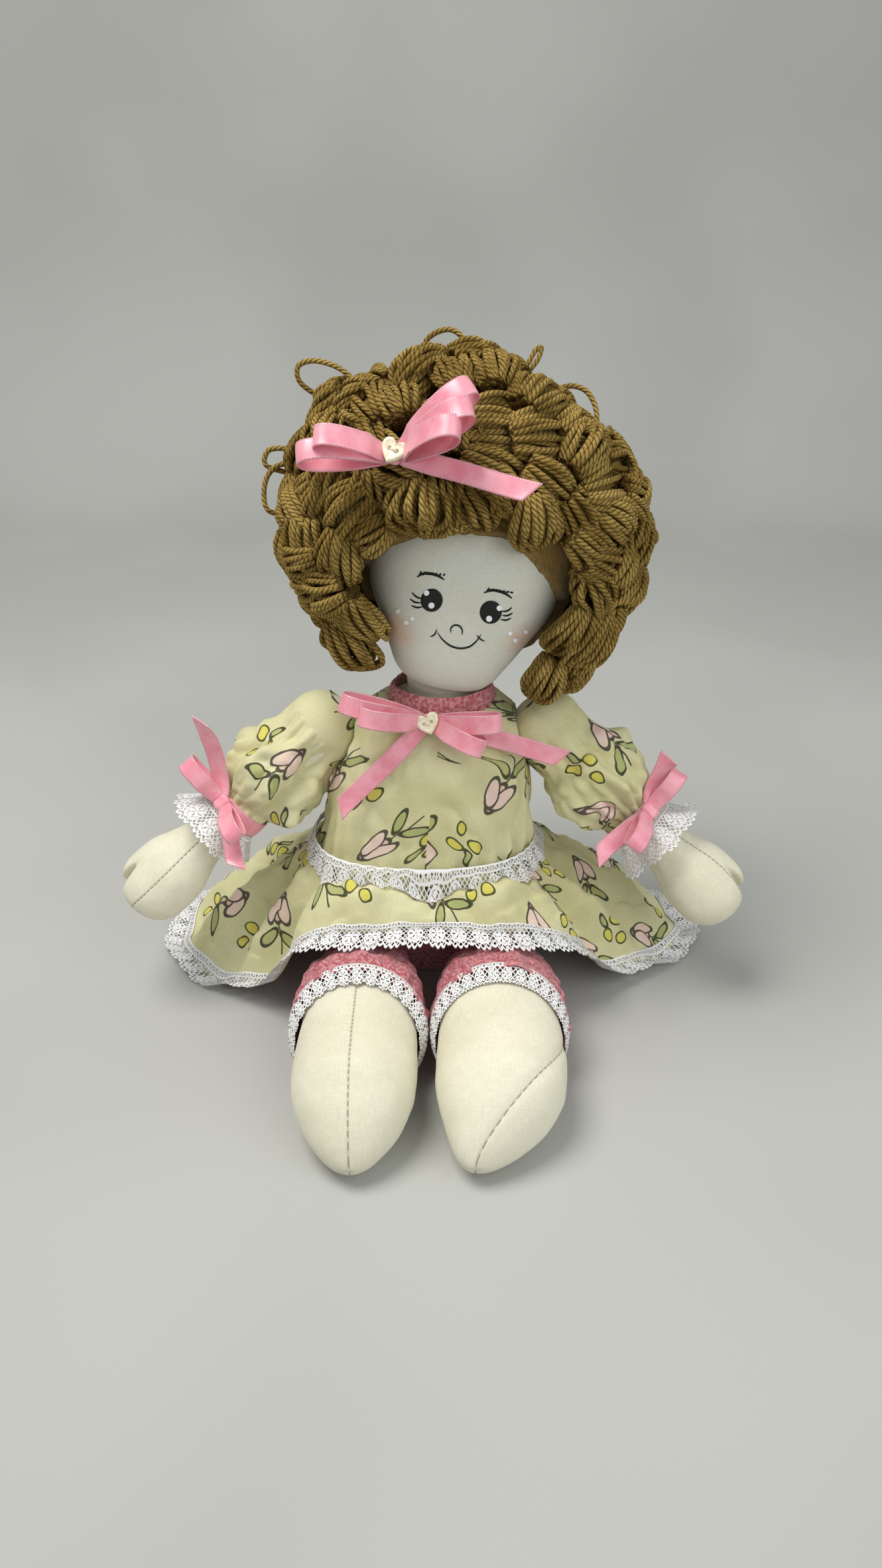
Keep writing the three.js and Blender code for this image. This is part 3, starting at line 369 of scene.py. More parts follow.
def lace_thread(width):
    """Cotton lace on a strip: u runs along it in metres, v across it in metres from the seam. A
    slanted net, with a flower in a ring in each repeat, a ladder at its head and a corded scallop edge."""
    g = Finish(f"cotton_lace_{width}", "#f1f0ee", 0.85, sheen=0.2, specular=0.2)
    wide = width * MM
    repeat = wide * LACE_REPEAT
    along, across, _ = g.split(g.uv())
    v = across / wide
    phase = (along / repeat).fract() - 0.5
    scallop = abs(g.math("COSINE", phase * (4 * pi))) * 0.09 + 0.9 - phase * phase * 0.4
    left = scallop - v
    cord, second_cord = abs(left - 0.05).fall(0.03, 0.045), abs(left - 0.19).fall(0.012, 0.03)
    net = [(along / 0.0026 + across / 0.0024 * way).off_beat(1.0).fall(0.09, 0.15) for way in (1.0, -1.0)]
    flower_x, flower_y = phase * repeat, (v - 0.52) * wide
    reach = g.vector("LENGTH", g.join(flower_x, flower_y)) / repeat
    leaves = abs((g.math("ARCTAN2", flower_y, flower_x) * 3.0).sine()).step(0.35, 0.55)
    flower = leaves * reach.fall(0.26, 0.3)
    ring = abs(reach - 0.33).fall(0.025, 0.045)
    head = v.fall(0.04, 0.06)
    ladder = v.fall(0.16, 0.18) * along.off_beat(0.0016).fall(0.15, 0.25)
    rail = abs(v - 0.19).fall(0.02, 0.035)
    threads = g.highest(*net, flower, ring, head, ladder, rail, second_cord, cord) * left.step(0.0, 0.03)
    g.put(g.inputs["Alpha"], threads)
    twist = g.noise(g.scaled(g.uv(), (2600.0, 2600.0, 1.0)), 1.0, 2.0)
    return g.done(None, threads * 2.0 + twist, 0.0002, 0.7)


def satin_finish():
    """Satin ribbon: fine lengthwise floats and a row of tiny woven picots on both edges."""
    g = Finish("pink_satin", "#f19aa8", 0.3, sheen=0.2, specular=0.8)
    along, across, _ = g.split(g.uv())
    edge = abs(across)
    selvage = edge.step(0.0038, 0.004) * edge.fall(0.0044, 0.0046)
    picot = selvage * along.off_beat(0.0011).fall(0.14, 0.24)
    floats = g.noise(g.scaled(g.uv(), (150.0, 5200.0, 1.0)), 1.0, 2.0)
    tone = g.clouds(g.noise(g.uv(), 90.0, 2.0), 0.35, 0.65, "#ee8fa0", "#f5a7b3")
    tone = g.mix(picot * 0.85, tone, "#ffe3e7")
    tone = g.mix((selvage - picot) * 0.6, tone, "#c45a70")
    g.put(g.inputs["Roughness"], floats.step(0.3, 0.7, 0.22, 0.38))
    return g.done(tone, floats + picot * 3.0, 0.00006, 0.7)


def yarn_finish():
    """Plied yarn: u goes once round the strand, v along it in metres, and the plies wind round it, with painted
    shade in the valleys between them.
    """
    g = Finish("golden_yarn", "#8a6a2f", 0.95, sheen=0.2, specular=0.08)
    g.put(g.inputs["Sheen Tint"], "#d8b368")
    phase, along, _ = g.split(g.uv())
    ply = abs((phase * (3 * pi) + along * (pi / 0.0027)).sine())
    fibres = g.noise(g.join(phase * 26.0, along * 320.0), 1.0, 3.0, 0.65)
    tone = g.clouds(fibres + g.noise(g.place(), 55.0, 2.0), 0.75, 1.25, "#745b28", "#b39755")
    # Painted shade: the valleys between the plies are darkened towards #3c2b0f.
    tone = g.mix(ply.step(0.05, 0.7, 0.85, 0.0), tone, "#3c2b0f")
    return g.done(tone, fibres * 0.3 + g.math("POWER", ply, 0.6), 0.0006)


def shaded_core_yarn_finish():
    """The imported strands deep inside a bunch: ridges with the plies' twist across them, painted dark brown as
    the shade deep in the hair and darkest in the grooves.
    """
    g = Finish("packed_yarn_painted_shade", "#4d3818", 0.97, sheen=0.1, specular=0.05)
    apart, twist = 0.0026, 0.0035
    across, along, _ = g.split(g.uv())
    ply = abs((along * (2 * pi / twist) + across * (2 * pi / apart)).sine())
    height = ply * 0.35 + abs((across * (pi / apart)).sine())
    # Painted shade: the whole core is dark brown, and darkest in the grooves between its ridges.
    return g.done(g.clouds(height, 0.3, 1.2, "#2c1f0b", "#5c4520"), height, 0.0012)


def felt_finish():
    """Combed fibres: streaks that run along v, bent a little by noise."""
    g = Finish("combed_felt", "#8a6a36", 0.97, sheen=0.3, specular=0.08)
    flat = g.uv()
    bend = g.scaled(g.join(g.noise(flat, 60.0), g.noise(flat, 45.0)), (0.006, 0.006, 1.0))
    streaks = g.noise(g.scaled(g.vector("ADD", flat, bend), (1700.0, 110.0, 1.0)), 1.0, 4.0, 0.65)
    tone = g.clouds(streaks + g.noise(flat, 80.0, 3.0), 0.75, 1.3, "#6a5224", "#a3854a")
    return g.done(tone, streaks, 0.0005, 0.9)


def paint_finish(name, base, roughness):
    """Hand-brushed paint or pen: slightly uneven cover and edge."""
    g = Finish(name, base, roughness, specular=0.4)
    cover = g.noise(g.place(), 900.0, 3.0)
    dark = tuple(c * 0.8 for c in colour(base)[:3]) + (1.0,)
    return g.done(g.mix(cover.step(0.4, 0.7, 0.0, 0.5), base, dark), cover, 0.00005, 0.5)


def button_finish():
    """Cream button: smooth, with faint clouds in the body colour."""
    g = Finish("cream_button", "#f0e7c9", 0.32, specular=0.5)
    g.put(g.inputs["Coat Weight"], 0.25)
    g.put(g.inputs["Subsurface Weight"], 0.12)
    g.put(g.inputs["Subsurface Radius"], (0.002, 0.0016, 0.001))
    cloud = g.noise(g.place(), 420.0, 3.0)
    return g.done(g.clouds(cloud, 0.4, 0.65, "#eae0bd", "#f6efd8"), cloud, 0.00004, 0.4)


# Surfaces from arrays

def unit(v):
    return v / np.linalg.norm(v, axis=-1, keepdims=True)


def grid_of(*parts):
    """A grid of points, or of map values, from parts that are spread to one shape."""
    return np.stack(np.broadcast_arrays(*parts), -1)


def joined(grid):
    """A closed grid with its first column again at its end."""
    return np.concatenate([grid, grid[:, :1]], 1)


def arcs(grid, axis):
    """Arc length from the first row or column along an axis."""
    gaps = np.linalg.norm(np.diff(grid, axis=axis), axis=-1)
    return np.concatenate([np.zeros_like(gaps.take([0], axis)), np.cumsum(gaps, axis)], axis)


def area_of(grid):
    """Area of a grid's cells in square metres."""
    a, b = grid[1:, :-1] - grid[:-1, :-1], grid[:-1, 1:] - grid[:-1, :-1]
    return np.linalg.norm(np.cross(a, b), axis=-1).sum() * MM * MM


def mesh_piece(name, points, faces, material, maps=None):
    """A smooth mesh object from points in millimetres, a list of faces and loop maps in metres."""
    mesh = bpy.data.meshes.new(name)
    mesh.from_pydata(points * MM, [], faces)
    for layer, values in (maps or {}).items():
        mesh.uv_layers.new(name=layer).data.foreach_set("uv", np.asarray(values, np.float32).ravel())
    mesh.polygons.foreach_set("use_smooth", np.full(len(mesh.polygons), True))
    mesh.update()
    piece = bpy.data.objects.new(name, mesh)
    bpy.context.collection.objects.link(piece)
    mesh.materials.append(material)
    return piece


def grid_faces(rows, columns, closed):
    """Quads of a grid of rows by columns, as point numbers and as map numbers."""
    r, c = np.meshgrid(np.arange(rows - 1), np.arange(columns if closed else columns - 1), indexing="ij")

    def corners(wide, after):
        quads = np.stack([r * wide + c, r * wide + after, (r + 1) * wide + after, (r + 1) * wide + c], -1)
        return quads.reshape(-1, 4)

    return corners(columns, (c + 1) % columns), corners(columns + 1 if closed else columns, c + 1)


def lengths_map(grid, closed):
    """Cloth map in metres: each row's own arc length across, each column's own arc length along."""
    ring = joined(grid) if closed else grid
    across = arcs(ring, 1)
    half = across.shape[1] // 2
    return np.stack([across - across[:, half:half + 1], -arcs(ring, 0)], -1) * MM


def inside_out(points, quads):
    """Whether the quads of a closed surface hold a negative volume."""
    a, b, c, d = (points[quads[:, k]] for k in range(4))
    return (a * (np.cross(b, c) + np.cross(c, d))).sum() < 0


def solid(name, grid, material, maps=None):
    """A closed surface: a grid of rings whose first and last rings close on their middles."""
    rows, columns = grid.shape[:2]
    points = np.concatenate([grid.reshape(-1, 3), [grid[0].mean(0)], [grid[-1].mean(0)]])
    quads, spots = grid_faces(rows, columns, True)
    k = np.arange(columns)
    after = (k + 1) % columns
    last = (rows - 1) * columns
    low = np.stack([np.full(columns, rows * columns), after, k], -1)
    high = np.stack([np.full(columns, rows * columns + 1), last + k, last + after], -1)
    loops = {}
    for layer, table in {"cloth": lengths_map(grid, True), **(maps or {})}.items():
        table = table.reshape(-1, 2)
        end = (rows - 1) * (columns + 1) + k
        loops[layer] = (table[spots], np.stack([table[k], table[k + 1], table[k]], 1),
                        np.stack([table[end], table[end], table[end + 1]], 1))
    if inside_out(points, quads):
        quads, low, high = quads[:, ::-1], low[:, ::-1], high[:, ::-1]
        loops = {n: tuple(part[:, ::-1] for part in parts) for n, parts in loops.items()}
    faces = quads.tolist() + low.tolist() + high.tolist()
    maps = {n: np.concatenate([part.reshape(-1, 2) for part in parts]) for n, parts in loops.items()}
    return mesh_piece(name, points, faces, material, maps)


def sheets(name, grids, tables, material, thickness, closed=False):
    """Open surfaces as one piece, given their thickness by Solidify."""
    points, faces, maps, start = [], [], [], 0
    for grid, table in zip(grids, tables):
        quads, spots = grid_faces(*grid.shape[:2], closed)
        points.append(grid.reshape(-1, 3))
        faces.append(quads + start)
        maps.append(table.reshape(-1, 2)[spots].reshape(-1, 2))
        start += len(points[-1])
    piece = mesh_piece(
        name, np.concatenate(points), np.concatenate(faces).tolist(), material, {"cloth": np.concatenate(maps)})
    wall = piece.modifiers.new("cloth_thickness", "SOLIDIFY")
    wall.thickness, wall.offset = thickness * MM, 0
    return piece


def sheet(name, grid, material, thickness, closed=True, table=None):
    table = lengths_map(grid, closed) if table is None else table
    return sheets(name, [grid], [table], material, thickness, closed)


def carry(piece, body, nodes):
    """Gives a piece its body, the solids that it replaces, or None."""
    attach(piece, body)
    if nodes is not None:
        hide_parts(*nodes)
    return piece


LEAST_FLAT = 0.0101


def cloth_piece(name, grid, cloth, thickness, body, node, table=None):
    """A closed sheet with its body and the solid that it replaces; its flat size is worked out from its own
    surface but not kept. A closed sheet, declared with the flat size that its own surface gives, 10 mm or
    more.
    """
    piece = carry(sheet(name, grid, cloth, thickness, table=table), body, [node])
    ring = joined(grid)
    wide, long = arcs(ring, 1).max() * MM, arcs(ring, 0).max() * MM
    min(area_of(ring), wide * long)
    return piece


def lace_edge(name, grid, lace, width, body, node):
    """A gathered lace edge, mapped as a strip of its width."""
    cloth_piece(name, grid, lace, 0.35, body, node, lace_table(grid, width))


def curve_rows(rows, count, closed=False):
    """Points on a centripetal Catmull-Rom curve through the rows; an open one has its two end
    rows as tangents only."""
    p = np.asarray(rows, float)
    if closed:
        p = np.concatenate([p[-1:], p, p[:2]])
    knots = np.concatenate([[0], np.cumsum(np.linalg.norm(np.diff(p, axis=0), axis=1) ** 0.5)])
    spans = len(p) - 3
    u = np.linspace(0, spans, count, endpoint=not closed)
    i = np.minimum(u.astype(int), spans - 1)
    t0, t1, t2, t3 = (knots[i + k][:, None] for k in range(4))
    t = t1 + (u - i)[:, None] * (t2 - t1)

    def between(low, high, first, second):
        return (high - t) / (high - low) * first + (t - low) / (high - low) * second

    p0, p1, p2, p3 = (p[i + k] for k in range(4))
    a1, a2, a3 = between(t0, t1, p0, p1), between(t1, t2, p1, p2), between(t2, t3, p2, p3)
    return between(t1, t2, between(t0, t2, a1, a2), between(t1, t3, a2, a3))


def round_ends(rows):
    """Adds a tangent row at each end, with its two widths turned over, so that the end is round."""
    rows = np.asarray(rows, float)
    first, last = rows[1].copy(), rows[-2].copy()
    first[1:3] *= -1
    last[1:3] *= -1
    return np.concatenate([[first], rows, [last]])


def straight_ends(rows):
    """Adds a tangent row at each end that goes straight on."""
    rows = np.asarray(rows, float)
    return np.concatenate([2 * rows[:1] - rows[1:2], rows, 2 * rows[-1:] - rows[-2:-1]])


def waves(points, size, seed, octaves=3):
    """Smooth noise as a sum of plane waves of random direction; size is the longest wave."""
    random = np.random.default_rng(seed)
    total = 0
    for octave in range(octaves):
        ways = random.normal(size=(6, 3))
        ways *= (2 * pi * 2 ** octave / size / np.linalg.norm(ways, axis=1))[:, None]
        total = total + np.sin(points @ ways.T + random.uniform(0, 2 * pi, 6)).mean(-1) / 1.7 ** octave
    return total


def ridges(points, size, seed):
    """Creases: smooth noise folded up at zero, so that its valleys are sharp and its hills round."""
    return 2.4 * np.sqrt(waves(points, size, seed) ** 2 + 0.004) - 0.75


def puckers(angle, along, count, seed):
    """Short creases that run out from a seam: a sum of close wave numbers round the tube."""
    random = np.random.default_rng(seed)
    numbers = np.arange(count - 3, count + 4)
    phases = random.uniform(0, 2 * pi, numbers.size)
    drift = random.uniform(-0.02, 0.02, numbers.size)
    total = np.cos(numbers * angle[..., None] + phases + drift * along[..., None]).sum(-1)
    return total / np.sqrt(numbers.size * 2)


def ramp(value):
    """A value held between 0 and 1."""
    return np.clip(value, 0, 1)


def bell(distance, width):
    return np.exp(-(distance / width) ** 2)


def angles(count):
    """Angles from the front, round by the doll's right side."""
    return FRONT - np.arange(count) * 2 * pi / count


def outward(angle):
    """Level directions at angles."""
    return np.stack([np.cos(angle), np.sin(angle), np.zeros_like(angle)], -1)


def rounded(angle, squareness):
    """A rounded-square outline of half size one."""
    return tuple(np.sign(way) * np.abs(way) ** (2 / squareness) for way in (np.cos(angle), np.sin(angle)))


def dented(points, centre, radius):
    """Points inside a ball move straight away from its middle onto its surface."""
    away = points - centre
    far = np.linalg.norm(away, axis=-1, keepdims=True)
    return np.where(far < radius, centre + away / np.maximum(far, 0.01) * radius, points)


def halved(low, high, far, steps):
    """Halves the span from low to high towards the place up to which far holds."""
    for _ in range(steps):
        middle = (low + high) / 2
        beyond = far(middle)
        low, high = np.where(beyond, middle, low), np.where(beyond, high, middle)
    return low, high


def frame_of(along, up):
    """Basis with Z along and Y up, as rows."""
    along = unit(np.asarray(along, float))
    up = unit(up - np.dot(up, along) * along)
    return np.array([np.cross(up, along), up, along])


def leaning(angle):
    """Basis that leans about the Y axis, as rows."""
    return np.array([[np.cos(angle), 0, -np.sin(angle)], [0, 1, 0], [np.sin(angle), 0, np.cos(angle)]])


def pixel_ways(pixels):
    """Directions of the photograph's pixels from its camera."""
    pixels = np.asarray(pixels, float)
    right, up = (pixels[..., :1] - MIDDLE_X) / FOCAL, (MIDDLE_Y - pixels[..., 1:]) / FOCAL
    return unit(AHEAD + right * X + up * UPWARD)


def pixel_of(points):
    """The pixel at which the camera of the photograph sees a point of the doll."""
    away = points - CAMERA
    ahead = away @ AHEAD
    return np.stack([MIDDLE_X + FOCAL * away[..., 0] / ahead, MIDDLE_Y - FOCAL * (away @ UPWARD) / ahead], -1)


# Body

BODY_HEIGHT, BODY_WIDTH, BODY_DEPTH, BODY_X = 166, 116, 84, -6
# Share of the height, of the width and of the depth, lean to the left and shift to the back
BODY_ROWS = np.array([
    [0.016, 0.72, 0.7, 0, 1], [0.072, 0.93, 0.9, 0, 1], [0.169, 1, 0.985, 0, 0.86],
    [0.271, 1, 1, 0, 0.64], [0.361, 0.985, 1, 0, 0.36], [0.506, 0.93, 0.83, 0, 0.23],
    [0.633, 0.88, 0.8, 0.22, 0.4], [0.753, 0.845, 0.76, 0.45, 0.52], [0.861, 0.79, 0.68, 0.68, 0.62],
    [0.93, 0.7, 0.62, 0.8, 0.64], [0.97, 0.56, 0.56, 0.88, 0.64], [1, 0.42, 0.49, 0.95, 0.64]])
NECK = np.array([3.5, 14.08, 176.0])
NECK_MIDDLE, NECK_HALF, NECK_RADIUS = 168, 25.6, 18
WAIST, NECKLINE = 84.0, 165.8


def body_points(angle, height, grow):
    """The stuffed body: rounded-square sections whose sizes and middles follow the height."""
    share = np.asarray(height) / BODY_HEIGHT
    width, depth, lean, shift = (np.interp(share, BODY_ROWS[:, 0], BODY_ROWS[:, k]) for k in (1, 2, 3, 4))
    x, y = rounded(angle, 2.5)
    return grid_of(BODY_X + lean * 10 + x * (width * BODY_WIDTH / 2 + grow),
                   shift * 22 + y * (depth * BODY_DEPTH / 2 + grow), height)


def make_torso(cloth):
    heights = np.concatenate([[3.4, 4.5], np.linspace(6, 165, 60), [165.6]])
    inset = np.concatenate([[-6, -2.5], np.full(60, -0.3), [-4]])
    grid = body_points(angles(96), heights[:, None], inset[:, None])
    carry(solid("torso_stuffed", grid, cloth), "body", ["torso"])


def make_neck(cloth):
    """A short roll with round ends that creases where the head weighs on it."""
    z = NECK_MIDDLE + np.linspace(-1, 1, 40)[:, None] * NECK_HALF
    end = np.clip(np.abs(z - NECK_MIDDLE) - 8, 0, None) / NECK_RADIUS
    radius = NECK_RADIUS * np.sqrt(np.clip(1 - end ** 2, 0.001, 1)) - 0.9 * bell(z - 172.6, 1.3)
    grid = grid_of(*round_section(radius, angles(72)), z)
    carry(solid("neck_roll", grid, cloth), "neck", ["neck"])


def round_section(radius, angle):
    """Level circles about the neck."""
    return NECK[0] + radius * np.cos(angle), NECK[1] + radius * np.sin(angle)


# Head

HEAD_WIDTH, HEAD_DEPTH, HEAD_HEIGHT, HEAD_FOOT, HEAD_SHIFT, HEAD_SQUARENESS = 97, 76, 117, 2, 6, 2.15
# Share of the height, of the width and of the depth, and shift to the back
HEAD_ROWS = np.array([
    [0, 0.42, 0.48, -0.3], [0.035, 0.53, 0.62, -0.2], [0.1, 0.62, 0.73, 0], [0.24, 0.8, 0.86, 0.5],
    [0.4, 0.97, 0.96, 1], [0.53, 1, 1, 1], [0.68, 0.93, 0.96, 1], [0.82, 0.74, 0.8, 1],
    [0.93, 0.48, 0.54, 1], [0.985, 0.22, 0.25, 1], [1.0, 0.0, 0.0, 1]])
HEAD_SHAPE = curve_rows(round_ends(HEAD_ROWS), 400)
HEAD_TURN = leaning(radians(12))


def from_head(points):
    """Head frame to the doll's frame: a lean about the Y axis at the top of the neck."""
    return points @ HEAD_TURN + NECK


def to_head(points):
    return (points - NECK) @ HEAD_TURN.T


def head_halves(width, depth, grow):
    return width * HEAD_WIDTH / 2 + grow, depth * HEAD_DEPTH / 2 + grow


def head_rings(shape, count, grow, lift=0.0):
    """Rounded-square sections of the head on rows of HEAD_SHAPE."""
    share, width, depth, shift = (shape[:, k, None] for k in range(4))
    x, y = rounded(angles(count), HEAD_SQUARENESS)
    half_x, half_y = head_halves(width, depth, grow)
    return grid_of(x * half_x, shift * HEAD_SHIFT + y * half_y, HEAD_FOOT + share * HEAD_HEIGHT + lift)


def head_outside(points, grow):
    """How far points are out of the head, as a share of its section there."""
    top = HEAD_FOOT + HEAD_HEIGHT - 0.1
    share = (np.clip(points[..., 2], HEAD_FOOT, top + grow) - HEAD_FOOT) / HEAD_HEIGHT
    width, depth, shift = (np.interp(share, HEAD_SHAPE[:, 0], HEAD_SHAPE[:, k]) for k in (1, 2, 3))
    level = ramp((points[..., 2] - top) / np.maximum(grow, 0.1))
    half_x, half_y = (half * np.sqrt(1 - level ** 2) + 1e-6 for half in head_halves(width, depth, grow))
    x, y = np.abs(points[..., 0]) / half_x, np.abs(points[..., 1] - shift * HEAD_SHIFT) / half_y
    return x ** HEAD_SQUARENESS + y ** HEAD_SQUARENESS - 1


def on_face(pixels, grow=0.0):
    """The face's points under pixels of the photograph, in the head's frame."""
    start, way = to_head(CAMERA), pixel_ways(pixels) @ HEAD_TURN.T
    depth = np.linalg.norm(start - np.array([0, 0, 50.0]))
    low, high = (np.full(way.shape[:-1], depth - before) for before in (70, 5))
    low, high = halved(low, high, lambda far: head_outside(start + far[..., None] * way, grow) > 0, 40)
    return start + ((low + high) / 2)[..., None] * way


def make_head(cloth):
    """A stuffed head: rounded-square sections on the smooth rows, hollowed below over the neck."""
    foot = [HEAD_SHAPE[:1] * (1, k, k, 1) for k in (0.1, 0.35, 0.6, 0.8, 0.92)]
    grid = dented(head_rings(np.concatenate([*foot, HEAD_SHAPE[::4]]), 144, 0.0), np.zeros(3), 18.5)
    piece = carry(solid("head_stuffed", from_head(grid), cloth), "head", ["head"])


def face_patch(name, outline, material, height):
    """A painted patch: a fan of rings from the outline's middle, laid on the face."""
    middle = outline.mean(0)
    flat = middle + np.linspace(0.02, 1, 7)[:, None, None] * (outline - middle)
    return sheet(name, from_head(on_face(flat, height)), material, 0.12)


def oval(x, y, half_x, half_y, turn=0.0, count=40):
    a = np.linspace(0, 2 * pi, count, endpoint=False)
    c, s = np.cos(radians(turn)), np.sin(radians(turn))
    u, v = half_x * np.cos(a), half_y * np.sin(a)
    return np.stack([x + u * c - v * s, y + u * s + v * c], -1)


def face_stroke(name, points, width, material, count=30):
    """A pen stroke along a curve of pixels, thin at both ends."""
    path = curve_rows(straight_ends(points), count)
    tangent = np.gradient(path, axis=0)
    side = unit(np.stack([-tangent[:, 1], tangent[:, 0]], -1))
    t = np.linspace(0, 1, count)[:, None]
    half = width / 2 * np.clip(np.sin(pi * np.clip(t, 0.04, 0.96)) ** 0.4, 0.2, 1)
    grid = np.stack([path - side * half, path, path + side * half], 1)
    return sheet(name, from_head(on_face(grid, 0.12)), material, 0.1, closed=False)


# The face, in pixels of the photograph
EYES = ((651, 905), (740, 923))
EYE_LIGHTS = ((643, 894, 4.2), (650.5, 913, 4.6), (753, 917, 4.2), (737.5, 933, 4.6))
CHEEK_DOTS = ((599, 922), (621, 933), (612, 939), (769, 955), (793, 953), (777, 966))
STROKES = (
    ("lash_right_1", [(636, 903), (628, 900), (621, 893)], 2.6),
    ("lash_right_2", [(635, 909), (626, 908), (618, 903)], 2.6),
    ("lash_right_3", [(637, 915), (629, 916), (620, 913)], 2.6),
    ("lash_left_1", [(756, 922), (765, 921), (772, 916)], 2.6),
    ("lash_left_2", [(757, 928), (766, 928), (773, 924)], 2.6),
    ("lash_left_3", [(755, 934), (763, 935), (771, 932)], 2.6),
    ("nose", [(680, 954), (680, 947), (686, 942.5), (693, 944), (697, 950), (697, 957)], 2.6),
    ("mouth", [(660, 954), (667, 964), (680, 974), (694, 977.5), (708, 975), (719, 966), (725, 957)], 2.8),
    ("mouth_end_right", [(649, 960), (655, 957), (659, 949)], 2.2),
    ("mouth_end_left", [(719, 958), (725, 964), (731, 967)], 2.2),
    ("brow_right", [(629, 870), (638, 865), (649, 865), (660, 868), (670, 874)], 4.4),
    ("brow_left", [(730, 894), (740, 890), (751, 891), (762, 895), (772, 902)], 4.4))
# The short hairs of each brow: foot of the first, its arch, tip of the first and the tips' fall
BROW_HAIRS = ((632, 868, 0.5, 635, 861, 0.7), (733, 893, 0.6, 738, 886, 1.3))


def make_face(black, pen, white):
    """Eyes, lashes, brows, nose, mouth and cheek dots where the photograph shows them."""
    parts = [face_patch(f"eye_{side}", oval(x, y, 16.5, 17.5, 12), black, 0.12)
             for side, (x, y) in zip(SIDES, EYES)]
    parts += [face_patch(f"eye_light_{k}", oval(x, y, r, r, count=20), white, 0.3)
              for k, (x, y, r) in enumerate(EYE_LIGHTS)]
    parts += [face_patch(f"cheek_dot_{k}", oval(x, y, 3.5, 3.3, count=16), white, 0.28)
              for k, (x, y) in enumerate(CHEEK_DOTS)]
    parts += [face_stroke(name, points, width, pen) for name, points, width in STROKES]
    hairs = [((x + 6 * k, y - arch * (3 - abs(k - 3))), (tip_x + 6 * k, tip_y + fall * k))
             for x, y, arch, tip_x, tip_y, fall in BROW_HAIRS for k in range(7)]
    for k, (foot, tip) in enumerate(hairs):
        middle = ((foot[0] + tip[0]) / 2 + 0.5, (foot[1] + tip[1]) / 2)
        parts.append(face_stroke(f"brow_hair_{k}", [foot, middle, tip], 2.8, pen, count=8))
    for piece in parts:
        carry(piece, "head", None)


# Arms, sleeves and cuffs

ARM_LENGTH, HAND_WIDTH, HAND_DEPTH, SHOULDER = 141, 41, 35, 19
SHOULDERS = {"right": np.array([-59.497, 13.758, 146]), "left": np.array([58.741, 13.758, 146])}
ARM_WAYS = {"right": (-0.73, -0.25, -0.63), "left": (0.715, -0.275, -0.645)}
# Share of the length, of the hand's width and of its depth
ARM_ROWS = np.array([
    [0.09, 0.82, 0.97], [0.24, 0.72, 0.84], [0.4, 0.65, 0.76], [0.62, 0.62, 0.74], [0.7, 0.78, 0.86],
    [0.76, 0.94, 0.97], [0.83, 1, 1], [0.9, 0.97, 0.96], [0.955, 0.76, 0.78], [0.985, 0.45, 0.47]])
BALL_DEGREES = np.radians([-76, -55, -32, -10, 14])
THUMB_RADIUS, THUMB_HALF = 8.5, 15
SLEEVE_ENDS = {"right": 67.0, "left": 71.0}
SLEEVE_RADIUS, CUFF = 26.5, 0.78 * HAND_WIDTH / 2
# Share of the length, and of the way from the cuff's radius to the puff's
SLEEVE_ROWS = [[0.21, 0.38], [0.38, 0.92], [0.6, 1], [0.76, 0.42], [0.835, 0], [1, 0]]
RIBBON = 9.5


def from_arm(side, points):
    return points @ frame_of(ARM_WAYS[side], (0, -0.6, 0.8)) + SHOULDERS[side]


def tube(rows, angle, folds=0.0):
    """Oval rings along Z: each row is distance, half width and half depth, and folds adds to both."""
    distance, wide, deep = (rows[:, k, None] for k in range(3))
    return grid_of((wide + folds) * np.cos(angle), (deep + folds) * np.sin(angle), distance)


def ball_rows(radius):
    return radius * np.stack([np.sin(BALL_DEGREES), np.cos(BALL_DEGREES), np.cos(BALL_DEGREES)], -1)


def seam_map(off, along):
    """Map of a closed limb in metres: the way off its seam, and along it."""
    return {"seam": joined(grid_of(off, along) * MM)}


